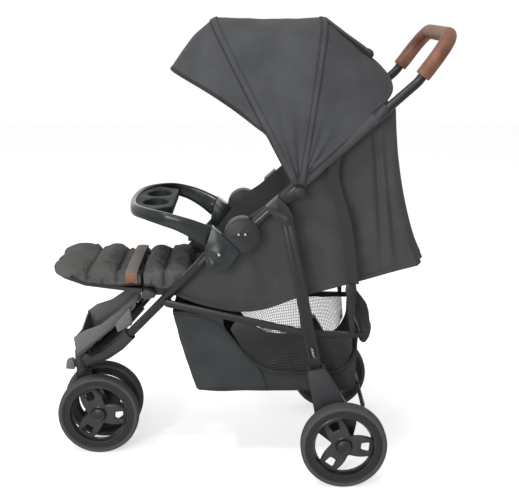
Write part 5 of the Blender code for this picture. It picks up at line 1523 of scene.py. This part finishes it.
    def build(self, shop: Workshop) -> None:
        """Make the pad and its piping."""
        core = self.start(shop)
        self.swell(core)
        bm = bmesh.new()
        bm.from_mesh(core.data)
        bpy.data.objects.remove(core)
        every_way = {"use_axis_x": True, "use_axis_y": True, "use_axis_z": True}
        bmesh.ops.smooth_vert(bm, verts=bm.verts, factor=0.5, **every_way)
        bmesh.ops.subdivide_edges(bm, edges=bm.edges[:], cuts=1, use_grid_fill=True)
        for _ in range(2):
            bmesh.ops.smooth_vert(bm, verts=bm.verts, factor=0.5, **every_way)
        self.pucker(bm)
        pad = shop.piece(f"{self.node}_quilted", bm, self.body, PAD_CLOTH, Slot.PAD, [self.node], sharp=70.0)
        shop.piece(f"{self.node}_piping", self.cord(), self.body, HEM_CLOTH, Slot.PAD)


@dataclass
class BackCushion(Cushion):
    """Backrest pad, whose channels lie across the reclining board."""

    def run(self, place: Vector) -> float:
        """Distance up the backrest from its hinge."""
        way = polar((0, 0), 1, BACK_SLOPE)
        return (place.y - REAR_AXLE_Y - BACK_PIVOT[0]) * way[0] + (place.z - BACK_PIVOT[1]) * way[1]


def seat_floor(y: float) -> float:
    """Height of the seat board's top."""
    return 0.4403 if y - REAR_AXLE_Y > -0.434 else 0.4485


def legrest_floor(y: float) -> float:
    """Height of the leg rest board's top."""
    places = ((-0.681, 0.475), (-0.668, 0.4719), (-0.601, 0.4578), (-0.546, 0.4508), (-0.4695, 0.4538))
    y -= REAR_AXLE_Y
    for (y0, z0), (y1, z1) in zip(places, places[1:]):
        if y <= y1:
            return z0 + (z1 - z0) * min(max((y - y0) / (y1 - y0), 0.0), 1.0)
    return places[-1][1]


def backrest_floor(y: float) -> float:
    """Height of the backrest board's top face."""
    slope = math.radians(BACK_SLOPE)
    return BACK_PIVOT[1] + (y - REAR_AXLE_Y - BACK_PIVOT[0]) * math.tan(slope) + 0.0063 / math.cos(slope)


@dataclass
class Seat:
    """Padded seat, leg rest and backrest on their boards, with the leg rest's webbing and tab."""

    strap_span: Point = (-0.505, -0.477)
    strap_corners: tuple = ((0.1410, 0.462), (0.1410, 0.478), (0.130, 0.4870), (0.0, 0.4900))
    rungs: int = 22
    tab_span: Point = (-0.505, -0.478)
    tab_heights: Point = (0.463, 0.487)
    half: float = 0.138
    board_cuts: tuple = (0.5, 0.6, 0.7, 0.8, 0.87, 0.93, 0.97)

    def ladder(self) -> Mesh:
        """Ribbed webbing over the third roll, from one side of the leg rest to the other."""
        near = [spot(x, (0, z)) for x, z in self.strap_corners]
        line = curve_through(near + [flipped(place, -1) for place in reversed(near[:-1])], 97)
        start, end = self.strap_span

        def place(u: float, v: float) -> Vector:
            point = line[round(v * 96)]
            rib = 0.0008 * abs(math.sin(self.rungs * math.pi * v)) ** 0.5
            out = Vector((point.x, 0, point.z - 0.465)).normalized()
            middle = point + out * rib
            fall = 0.002 * abs(2 * u - 1) ** 2
            return Vector((middle.x, REAR_AXLE_Y + start + (end - start) * u, middle.z - fall))

        bm = mapped_grid(40, 96, place, (0.028, 0.32))
        return facing(bm, lambda place: place - Vector((0, place.y, 0.44)))

    def tab(self) -> Mesh:
        """Small leather patch sewn over the webbing's near end."""
        (y0, y1), (z0, z1) = self.tab_span, self.tab_heights
        corner = 0.004
        outline = []
        for cy, cz, first in ((y1 - corner, z1 - corner, 0), (y0 + corner, z1 - corner, 90),
                              (y0 + corner, z0 + corner, 180), (y1 - corner, z0 + corner, 270)):
            outline += [polar((cy, cz), corner, first + 22.5 * step) for step in range(5)]
        return moulded(outline, self.half + 0.0036, self.half + 0.0056, 0.0007)

    def build(self, shop: Workshop) -> None:
        """Make the three pads, the webbing and the tab, and dress the boards."""
        way = polar((0, 0), 1, BACK_SLOPE)
        back_seams = tuple(CHANNEL_START + CHANNEL * index for index in range(1, 4))
        back_piping = tuple(along(BACK_PIVOT, way, distance, -0.0085) for distance in (0.332, 0.032))
        pads = [
            Cushion("seat_pad", "upper_frame", 0.1305, (-0.414, -0.352, -0.282), seat_floor,
                    ((-0.212, 0.4425), (-0.433, 0.4425), (-0.441, 0.4505), (-0.464, 0.4520))),
            Cushion("legrest_pad", "legrest", 0.138, (-0.592, -0.524), legrest_floor,
                    ((-0.4715, 0.457), (-0.546, 0.453), (-0.601, 0.460), (-0.680, 0.4745)),
                    tip_round=0.054, pressed=(-0.516, -0.474)),
            BackCushion("backrest_pad", "backrest", 0.122, back_seams, backrest_floor, back_piping,
                        crown=0.002, cap=0.005),
        ]
        for pad in pads:
            pad.build(shop)
        strap = shop.piece("legrest_webbing", self.ladder(), "legrest", LADDER_STRAP, Slot.WEBBING,
                           thick=0.0012)
        tab = shop.piece("legrest_tab", self.tab(), "legrest", TAN_LEATHER, Slot.LEATHER)
        board = shop.copy_of("legrest_board")
        for share in self.board_cuts:
            for side in Side:
                geom = board.verts[:] + board.edges[:] + board.faces[:]
                middle = (side.sign * share * self.half, 0, 0)
                bmesh.ops.bisect_plane(board, geom=geom, dist=1e-5, plane_co=middle, plane_no=(1, 0, 0))
        for vert in board.verts:
            vert.co.y += pads[1].tip_shift(vert.co)
        shop.piece("legrest_board_rounded", board, "legrest", BLACK_PLASTIC, Slot.HOUSING, ["legrest_board"])
        for node in ("seat_board", "backrest_board"):
            shop.dress(node, BLACK_PLASTIC)


@dataclass
class Harness:
    """Shoulder belts, crotch strap and the buckle on it."""

    belt_x: float = 0.050
    belt_width: float = 0.024
    belt_start: float = 0.058
    belt_length: float = 0.234
    face: float = 0.0326
    thickness: float = 0.0016
    crotch_foot: Point = (-0.3495, 0.4715)
    crotch_length: float = 0.060

    def belt(self, side: Side) -> Mesh:
        """Belt that follows the backrest's channels and hangs over its lower end."""
        way = polar((0, 0), 1, BACK_SLOPE)

        def place(u: float, v: float) -> Vector:
            distance = self.belt_start + self.belt_length * v
            wave = 0.0012 * math.cos(2 * math.pi * (distance - CHANNEL_START) / CHANNEL)
            x = self.belt_x + self.belt_width * (u - 0.5) + 0.002 * math.sin(9 * v)
            return spot(side.sign * x, along(BACK_PIVOT, way, distance, -(self.face + 0.0026 - wave)))

        bm = mapped_grid(8, 60, place, (self.belt_width, self.belt_length))
        return facing(bm, lambda _: Vector((0, 0, 1)))

    def crotch(self) -> Mesh:
        """Short strap that stands up from the seat pad."""
        foot_y, foot_z = self.crotch_foot

        def place(u: float, v: float) -> Vector:
            y = foot_y - 0.004 * v - 0.002 * math.sin(math.pi * v)
            return spot(self.belt_width * (u - 0.5), (y, foot_z + self.crotch_length * v))

        bm = mapped_grid(8, 20, place, (self.belt_width, self.crotch_length))
        return facing(bm, lambda _: Vector((0, 1, 0)))

    def buckle(self) -> Mesh:
        """Buckle body with a raised button and two tongues."""
        outline = [(-0.366, 0.5320), (-0.343, 0.5320), (-0.3450, 0.566), (-0.3515, 0.573), (-0.3640, 0.570)]
        body = moulded(outline, -0.021, 0.021, 0.0035, 3)
        face = [(-0.3675, 0.543), (-0.3655, 0.543), (-0.3652, 0.560), (-0.3672, 0.560)]
        button = moulded(face, -0.010, 0.010, 0.0008)
        tongues = [moulded([(-0.358, 0.566), (-0.351, 0.566), (-0.352, 0.577), (-0.357, 0.577)],
                           *sorted((sign * 0.007, sign * 0.017)), 0.001) for sign in (1, -1)]
        return joined([body, button, *tongues])

    def build(self, shop: Workshop) -> None:
        """Make the belts, the strap and the buckle."""
        for side in Side:
            name = f"shoulder_belt_{side.word}"
            belt = shop.piece(f"{name}_woven", self.belt(side), "backrest", WEBBING, Slot.WEBBING, [name],
                              self.thickness)
        strap = shop.piece("crotch_strap_woven", self.crotch(), "upper_frame", WEBBING, Slot.WEBBING,
                           ["crotch_strap"], self.thickness)
        buckle = shop.piece("buckle_body", self.buckle(), "upper_frame", BLACK_PLASTIC, Slot.HOUSING,
                            ["harness_buckle"])


@dataclass
class SeatShell:
    """Cloth sides and back that hang from the handle tube, and the webbing that holds them up."""

    columns: tuple = (((-0.403, 0.4340), (-0.372, 0.470), (-0.345, 0.500)),
                      ((-0.330, 0.4090), (-0.315, 0.472), (-0.300, 0.530)),
                      ((-0.250, 0.3920), (-0.247, 0.500), (-0.241, 0.604)),
                      ((-0.180, 0.3980), (-0.179, 0.523), (-0.183, 0.6465)),
                      ((-0.103, 0.4260), (-0.107, 0.556), (-0.1166, 0.705)),
                      ((-0.030, 0.4460), (-0.037, 0.598), (-0.0513, 0.763)),
                      ((0.050, 0.4680), (0.036, 0.640), (0.0145, 0.821)),
                      ((0.115, 0.4870), (0.088, 0.665), (0.064, 0.860)),
                      ((0.172, 0.5020), (0.126, 0.660), (0.106, 0.862)))
    front_hem_x: float = 0.1338
    hem_x: float = 0.1430
    top_x: float = 0.1577
    fold: float = 0.0080
    wrinkle: float = 0.0045
    crease_run: float = 0.845
    crease_width: float = 0.020
    crease_depth: float = 0.0095
    thickness: float = 0.0016
    hem_width: float = 0.011
    hem_height: float = 0.0034
    strap_top: float = 0.272
    strap_half: float = 0.017
    across: int = 110
    up: int = 44

    def free(self, run: float) -> float:
        """How loose the cloth hangs: 0 where it is sewn to the curtain."""
        return smooth((1 - run) / 0.08)

    def width(self, run: float, share: float) -> float:
        """Distance of the cloth from the middle of the stroller."""
        hem = self.front_hem_x + (self.hem_x - self.front_hem_x) * smooth(run * 8)
        wave = (self.fold * math.sin(5.5 * math.pi * run) * math.sin(math.pi * share) * (0.3 + run)
                * self.free(run))
        return hem + (self.top_x - hem) * share ** 0.8 + math.hypot(wave, 0.0008) - 0.0008

    def place(self, run: float, share: float) -> Vector:
        """Place on the near side panel."""
        point = bend3(through(self.columns, run), share)
        x = self.width(run, share)
        line = (run - self.crease_run - 0.03 * (share - 0.5)) / self.crease_width
        crease = math.exp(-line * line) - 0.7 * math.exp(-(line - 2.1) ** 2)
        x -= self.crease_depth * crease * hump(share, 0.6)
        drape = noise.noise(Vector((point[0] / 0.030 + point[1] / 0.10, point[1] / 0.11, 2.0)))
        held = hump(share, 0.7)
        return spot(x + self.wrinkle * (drape - 0.3) * held * (0.4 + run) * self.free(run), point)

    def panel(self, side: Side) -> Mesh:
        """Side panel."""
        def place(u: float, v: float) -> Vector:
            return flipped(self.place(u, v), side.sign)

        bm = mapped_grid(self.across, self.up, place, (0.60, 0.35))
        return facing(bm, lambda _: Vector((side.sign, 0, 0)))

    def hem(self, side: Side) -> Mesh:
        """Turned and sewn lower edge of a side panel."""
        runs = [index / 90 for index in range(91)]
        path = [self.place(run, 0.0) for run in runs]
        inner = [self.place(run, 0.05) - self.place(run, 0.0) for run in runs]
        path, inner = ([flipped(item, side.sign) for item in row] for row in (path, inner))
        out = [Vector((side.sign, 0, 0))] * len(path)
        return ribbon(path, inner, out, self.hem_width, self.hem_height)

    def curtain(self) -> Mesh:
        """Back of the bag, between the side panels."""
        column = self.columns[-1]

        def place(u: float, v: float) -> Vector:
            share_x = 1 - 2 * u
            width = self.hem_x + (self.top_x - self.hem_x) * v ** 0.8
            y, z = bend3(column, v)
            bulge = (1 - share_x ** 2) * (0.022 * (1 - 0.6 * v) + 0.004 * math.cos(5 * math.pi * share_x))
            loose = 0.0025 * noise.noise(Vector((share_x * 3.5, v * 2.2, 8.0))) * (1 - share_x ** 2)
            return spot(width * share_x, (y + 0.0030 * (1 - share_x ** 8) + bulge + loose, z))

        return facing(mapped_grid(80, 50, place, (0.32, 0.37)), lambda _: Vector((0, 1, 0)))

    def strap(self, side: Side) -> Mesh:
        """Webbing from the basket's strut up to the handle tube."""
        way = unit(HUB, TUBE_BEND)
        tops = [along(HUB, way, self.strap_top + shift, TUBE_RADIUS + 0.001)
                for shift in (self.strap_half, -self.strap_half)]
        front = [(0.007, 0.468), (-0.010, 0.600), (-0.042, 0.712), tops[1]]
        back = [(0.034, 0.468), (0.017, 0.600), (-0.014, 0.712), tops[0]]
        edges = [curve_through([spot(0, point) for point in line], 61) for line in (front, back)]

        def place(u: float, v: float) -> Vector:
            point = edges[0][round(v * 60)].lerp(edges[1][round(v * 60)], u)
            bow = 0.0006 * math.sin(2 * math.pi * v) * math.sin(math.pi * v)
            return Vector((side.sign * (TUBE_X + 0.0008 + bow), point.y, point.z))

        return facing(mapped_grid(8, 60, place, (0.023, 0.31)), lambda _: Vector((side.sign, 0, 0)))

    def build(self, shop: Workshop) -> None:
        """Make the panels, hems, curtain and straps."""
        for side in Side:
            node = f"side_panel_{side.word}"
            panel = shop.piece(f"{node}_cloth", self.panel(side), "upper_frame", SEAT_CLOTH, Slot.SHELL,
                               [node], self.thickness)
            hem = shop.piece(f"{node}_hem", self.hem(side), "upper_frame", SEAT_CLOTH, Slot.SHELL)
            strap_node = f"side_strap_{side.word}"
            strap = shop.piece(f"{strap_node}_woven", self.strap(side), "upper_frame", WEBBING, Slot.WEBBING,
                               [strap_node], self.thickness)
            for item in (panel, hem, strap):
                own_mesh(item)
        curtain = shop.piece("back_curtain_cloth", self.curtain(), "upper_frame", SEAT_CLOTH, Slot.SHELL,
                             ["back_curtain"], self.thickness)
        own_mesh(curtain)


@dataclass
class Canopy:
    """Folding canopy: cloth stretched over two bows, a visor, and a window flap behind."""

    width: float = 0.1955
    front_angle: float = 117.6
    rear_angle: float = 81.0
    front_length: float = 0.4204
    rear_length: float = 0.3790
    bow_half: float = 0.0053
    visor_length: float = 0.393
    visor_reach: float = 21.0
    visor_side: float = 3.2
    visor_start: float = 0.36
    visor_round: float = 0.65
    back_length: float = 0.330
    back_angle: float = 57.5
    back_corner: float = 26.0
    tube_gap: float = 0.018
    cloth_start: float = 0.010
    seam_half: float = 0.0076
    flap_start: float = 1.331
    flap_length: float = 0.3419
    flap_angle: float = 59.8
    flap_lift: float = 0.0025
    flap_seam: float = 0.004
    power: float = 2 / 3
    sag: float = 0.0045
    thickness: float = 0.0016
    flap_thickness: float = 0.0018
    visor_from: float = 0.16
    sleeve_half: float = 0.0078
    seam_radius: float = 0.0012
    steps: int = 120

    def arch(self, angle: float, length: float, width: float, turn: float) -> Vector:
        """Point of a bow: turn runs from 0 at the near hinge to pi at the far one."""
        across = math.copysign(abs(math.cos(turn)) ** self.power, math.cos(turn)) * width
        return spot(across, polar(CANOPY_HINGE, abs(math.sin(turn)) ** self.power * length, angle))

    def square_to(self, angle: float, distance: float) -> Vector:
        """Offset square to a bow's plane, towards the rear when positive."""
        return spot(0, polar((-REAR_AXLE_Y, 0), distance, angle - 90))

    def bow_edge(self, front: bool, offset: float, turn: float, proud: float = 0.0) -> Vector:
        """Line beside a bow, at an offset from its plane."""
        angle = self.front_angle if front else self.rear_angle
        length = (self.front_length if front else self.rear_length) + proud
        return self.arch(angle, length, self.width + proud, turn) + self.square_to(angle, offset)

    def rise(self, turn: float) -> float:
        """Share of a bow's height at a turn."""
        return abs(math.sin(turn)) ** self.power

    def visor_edge(self, turn: float, proud: float = 0.0) -> Vector:
        """Leading edge of the visor, which reaches furthest forward over the top."""
        share = (self.rise(turn) - self.visor_start) / (1 - self.visor_start)
        blend = min(max(share, 0.0), 1.0) ** self.visor_round
        reach = self.visor_side + (self.visor_reach - self.visor_side) * blend
        length = self.front_length + (self.visor_length - self.front_length) * blend
        return self.arch(self.front_angle + reach, length + proud, self.width + proud, turn)

    def back_edge(self, turn: float, proud: float = 0.0) -> Vector:
        """Lower edge of the canopy's back: beside the tube at the sides, up across the top."""
        rise = self.rise(turn)
        way = unit(HUB, TUBE_BEND)
        slope = math.degrees(math.atan2(way[1], way[0]))
        side = slope + math.degrees(math.asin(min(0.45, self.tube_gap / max(rise * self.back_length, 0.001))))
        angle = side + (self.back_angle - side) * rise ** self.back_corner
        return self.arch(angle, self.back_length + proud, self.width + proud, turn)

    def flap_edge(self, turn: float) -> Vector:
        """Free edge of the window flap."""
        length = self.flap_length + self.flap_lift
        return self.arch(self.flap_angle, length, self.width + self.flap_lift, turn)

    def flap_root(self, turn: float) -> Vector:
        """Sewn edge of the window flap."""
        at_bow = self.bow_edge(False, self.bow_half, turn, self.flap_lift)
        at_back = self.back_edge(turn, self.flap_lift)
        return at_bow + (at_back - at_bow).normalized() * self.flap_seam

    def stretch(self, first: Line, second: Line, start: float, rows: int, bulge: float, seed: float) -> Mesh:
        """Cloth between two edges, sagging a little, with pleats that gather at the hinges.

        Args:
            first: Edge at share 0.
            second: Edge at share 1.
            start: Turn at which the near end begins.
            rows: Faces from edge to edge.
            bulge: Outward swell of the middle, or an inward sag when negative.
            seed: Shift of the wrinkles.

        Returns:
            The open sheet.
        """
        def place(u: float, v: float) -> Vector:
            turn = start + (math.pi - 2 * start) * u
            low, high = first(turn), second(turn)
            point = low.lerp(high, v)
            away = (point - spot(point.x * 0.35, CANOPY_HINGE)).normalized()
            middle = hump(v)
            gather = math.exp(-(self.rise(turn) / 0.42) ** 2)
            pleat = math.sin(v * 5 * math.pi + seed) * 0.0030 * gather * middle ** 0.5
            x, y, z = point
            ripple = noise.noise(Vector((x / 0.10 + seed, y / 0.028, z / 0.055))) * 0.0026
            pull = noise.noise(Vector((x / 0.05, (y + z * 0.6) / 0.05 + seed, 1.0))) * 0.0020
            swell = bulge * middle * hump(turn / math.pi, 0.5) + (ripple + pull) * middle ** 0.6
            return point + away * swell + Vector((math.copysign(1, x), 0, 0)) * pleat

        bm = mapped_grid(self.steps, rows, place, (0.95, 0.007 * rows))
        return facing(bm, lambda place: place - spot(0.0, CANOPY_HINGE))

    def tape(self, edge: Callable[..., Vector], inward: Line, start: float, width: float,
             height: float) -> Mesh:
        """Tape along an edge of the canopy, whose inner direction inward gives."""
        turns = [start + (math.pi - 2 * start) * index / self.steps for index in range(self.steps + 1)]
        path = [edge(turn, 0.0) for turn in turns]
        out = [edge(turn, 0.01) - edge(turn, 0.0) for turn in turns]
        return ribbon(path, [inward(turn) for turn in turns], out, width, height)

    def sleeve(self, front: bool) -> Mesh:
        """Strip of cloth sewn over a bow, raised along both seams."""
        half = self.sleeve_half
        angle = self.front_angle if front else self.rear_angle

        def place(u: float, v: float) -> Vector:
            turn = self.cloth_start + (math.pi - 2 * self.cloth_start) * v
            offset = half * (1 - 2 * u)
            crown = 0.0011 + 0.0011 * (1 - (2 * u - 1) ** 2)
            seam = -0.0010 * (math.exp(-((abs(2 * u - 1) - 0.72) / 0.10) ** 2))
            return self.bow_edge(front, offset, turn, crown + seam)

        bm = mapped_grid(20, self.steps, place, (2 * half, 0.95))
        middle = spot(0.0, polar(CANOPY_HINGE, 0.15, angle))
        return facing(bm, lambda place: place - middle)

    def flap_side(self, side: Side) -> Mesh:
        """Dark lining that shows under the flap's side, deepest at the free end."""
        turn = self.flap_start + 0.01
        low, high = (flipped(place, side.sign) for place in (self.flap_edge(turn), self.flap_root(turn)))
        path = [high.lerp(low, 0.08 + 0.92 * step / 24) for step in range(25)]
        down = (spot(low.x, CANOPY_HINGE) - low).normalized()
        return ribbon(path, [down] * 25, [Vector((side.sign, 0, 0))] * 25, 0.010, 0.0030)

    def seam(self, front: bool, offset: float) -> Mesh:
        """Dark piping along one edge of a bow's sleeve."""
        span = math.pi - 4 * self.cloth_start
        turns = [2 * self.cloth_start + span * index / self.steps for index in range(self.steps + 1)]
        path = [self.bow_edge(front, -offset, turn, 0.0009) for turn in turns]
        return swept(path, round_bar(self.seam_radius), 8, Vector((0, 1, 0)))

    def build(self, shop: Workshop) -> None:
        """Make the cloth, its bindings, the bow sleeves and the flap, and dress the bows."""
        gap = self.bow_half

        def beside(front: bool, offset: float) -> Line:
            """Line at an offset from a bow."""
            return lambda turn: self.bow_edge(front, offset, turn)

        def lifted_flap(turn: float, proud: float) -> Vector:
            """Free edge of the flap, raised by a height."""
            return self.flap_edge(turn) + Vector((0, 0, proud))

        def from_to(first: Line, second: Line) -> Line:
            """Way from one line to another at each turn."""
            return lambda turn: second(turn) - first(turn)

        cloth = self.stretch(beside(False, -gap), beside(True, gap), self.cloth_start, 26, -self.sag, 1.0)
        middle = shop.piece("canopy_middle_cloth", cloth, None, CANOPY_CLOTH, Slot.SHELL, ["canopy_middle"],
                            self.thickness)
        cloth = self.stretch(beside(True, -gap), self.visor_edge, self.visor_from, 20, 0.006, 4.0)
        visor = shop.piece("canopy_visor_cloth", cloth, "bow_front", CANOPY_CLOTH, Slot.SHELL,
                           ["canopy_visor"], self.thickness)
        cloth = self.stretch(self.back_edge, beside(False, gap), self.cloth_start, 22, -0.002, 7.0)
        back = shop.piece("canopy_back_cloth", cloth, None, CANOPY_CLOTH, Slot.SHELL, ["canopy_back"],
                          self.thickness)
        cloth = self.stretch(self.flap_edge, self.flap_root, self.flap_start, 14, 0.0, 9.0)
        flap = shop.piece("window_flap_cloth", cloth, "window_flap", CANOPY_CLOTH, Slot.SHELL,
                          ["window_flap"], self.flap_thickness)
        back_from_edge = from_to(self.visor_edge, beside(True, 0))
        tape = self.tape(self.visor_edge, back_from_edge, self.visor_from, 0.009, 0.0040)
        visor_hem = shop.piece("visor_binding", tape, "bow_front", HEM_CLOTH, Slot.SHELL)
        tape = self.tape(lifted_flap, from_to(self.flap_edge, self.flap_root), self.flap_start, 0.008, 0.0052)
        flap_hem = shop.piece("flap_binding", tape, "window_flap", LINING, Slot.SHELL)
        for side in Side:
            skirt = self.flap_side(side)
            shop.piece(f"flap_side_{side.word}", skirt, "window_flap", LINING, Slot.SHELL)
        tape = self.tape(self.back_edge, from_to(self.back_edge, beside(False, 0)), 0.08, 0.010, 0.0034)
        back_hem = shop.piece("back_binding", tape, "upper_frame", CANOPY_CLOTH, Slot.SHELL)
        for front, body, offsets in ((True, "bow_front", (1.0,)), (False, "bow_rear", (-0.72, 0.72))):
            for shift in offsets:
                name = f"{body}_seam_{'front' if shift < 0 else 'rear'}"
                shop.piece(name, self.seam(front, shift * self.seam_half), body, HEM_CLOTH, Slot.SHELL)
            sleeve = self.sleeve(front)
            cover = shop.piece(f"{body}_sleeve", sleeve, body, CANOPY_CLOTH, Slot.SHELL, thick=0.0010)
            shop.dress(body, BLACK_PAINT)
        for item, bodies, angle, reach in ((middle, ("bow_rear", "bow_front"), 99.3, 0.094),
                                           (back, ("upper_frame", "bow_rear"), 67.0, 0.075)):
            aside = self.square_to(angle, reach)
            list(bodies)
            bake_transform(item)


# Studio

@dataclass
class Studio:
    """Camera at the photograph's place, a near-white floor and soft plain light."""

    place: tuple = (2.4435, 0.0142, 1.1023)
    pitch: float = 13.7345
    yaw: float = 0.4271
    lens: float = 71.375
    floor: str = "#FBFBFB"
    world: float = 0.42
    floor_glow: float = 0.54

    def camera(self) -> None:
        """Set up the camera."""
        data = bpy.data.cameras.new("photo_camera")
        data.sensor_width = 36.0
        data.sensor_fit = "HORIZONTAL"
        data.lens = self.lens
        item = placed("photo_camera", data)
        item.location = self.place
        item.rotation_euler = (math.radians(90 - self.pitch), 0, math.radians(90 - self.yaw))
        bpy.context.scene.camera = item

    def backdrop(self) -> None:
        """World that is white to the camera and plain grey as light."""
        world = bpy.data.worlds.new("studio")
        bpy.context.scene.world = world
        world.use_nodes = True
        tree = world.node_tree
        ray = add_node(tree, "ShaderNodeLightPath").outputs
        seen = reckon(tree, "MAXIMUM", ray["Is Camera Ray"], ray["Is Glossy Ray"])
        seen = reckon(tree, "MAXIMUM", seen, ray["Is Transmission Ray"])
        power = spread(tree, seen, 0.0, 1.0, self.world, 1.0)
        shade = tree.nodes["Background"]
        shade.inputs["Color"].default_value = (1, 1, 1, 1)
        tree.links.new(power, shade.inputs["Strength"])

    def ground(self) -> None:
        """Pale floor that keeps the stroller's soft shadow and reads white away from it."""
        bm = bmesh.new()
        bmesh.ops.create_grid(bm, x_segments=1, y_segments=1, size=7.0)
        item = placed("studio_floor", mesh_of("studio_floor", bm))
        made, tree, shader = blank("studio_floor", Base_Color=hex_colour(self.floor), Roughness=0.9,
                                   Specular_IOR_Level=0.1)
        ray = add_node(tree, "ShaderNodeLightPath").outputs
        glow = reckon(tree, "MULTIPLY", ray["Is Camera Ray"], self.floor_glow)
        shader.inputs["Emission Color"].default_value = (1, 1, 1, 1)
        tree.links.new(glow, shader.inputs["Emission Strength"])
        item.data.materials.append(made)

    def lamp(self, name: str, place: Point3, aim: Point3, size: float, power: float) -> None:
        """Square soft lamp that points at a place."""
        data = bpy.data.lights.new(name, "AREA")
        data.energy = power
        data.size = size
        item = placed(name, data)
        item.location = place
        item.rotation_euler = (Vector(aim) - Vector(place)).to_track_quat("-Z", "Y").to_euler()

    def build(self) -> None:
        """Make the camera, world, floor and lamps."""
        self.camera()
        self.backdrop()
        self.ground()
        middle = (0.0, 0.0, 0.5)
        self.lamp("top_light", (0.7, -0.1, 3.0), middle, 2.0, 28.0)
        self.lamp("camera_light", (3.0, -0.9, 1.2), middle, 1.4, 38.0)
        self.lamp("glint_light", (1.3, -1.2, 2.6), middle, 0.25, 16.0)
        self.lamp("spark_light", (2.5, -1.25, 1.5), (0.19, -0.62, 0.60), 0.22, 13.0)
        bpy.context.scene.view_settings.view_transform = "Standard"


def main() -> None:
    """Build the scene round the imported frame."""
    logging.basicConfig(level=logging.INFO, format="%(name)s %(message)s")
    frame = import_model()
    Studio().build()
    shop = Workshop(frame)
    sections = [Handle(), Joints(), Tray(), FrontFrame(), RearFrame(), Basket(), Seat(), Harness()]
    sections += [SeatShell(), Canopy()]
    for side in Side:
        sections.append(Wheel("front", side, (-0.592, 0.100), 0.050, 0.036, 0.0177))
        sections.append(Wheel("rear", side, (0.0, 0.100), 0.240, 0.040, 0.0277))
    for section in sections:
        LOG.info("section %s", type(section).__name__)
        section.build(shop)


if __name__ == "__main__":
    main()
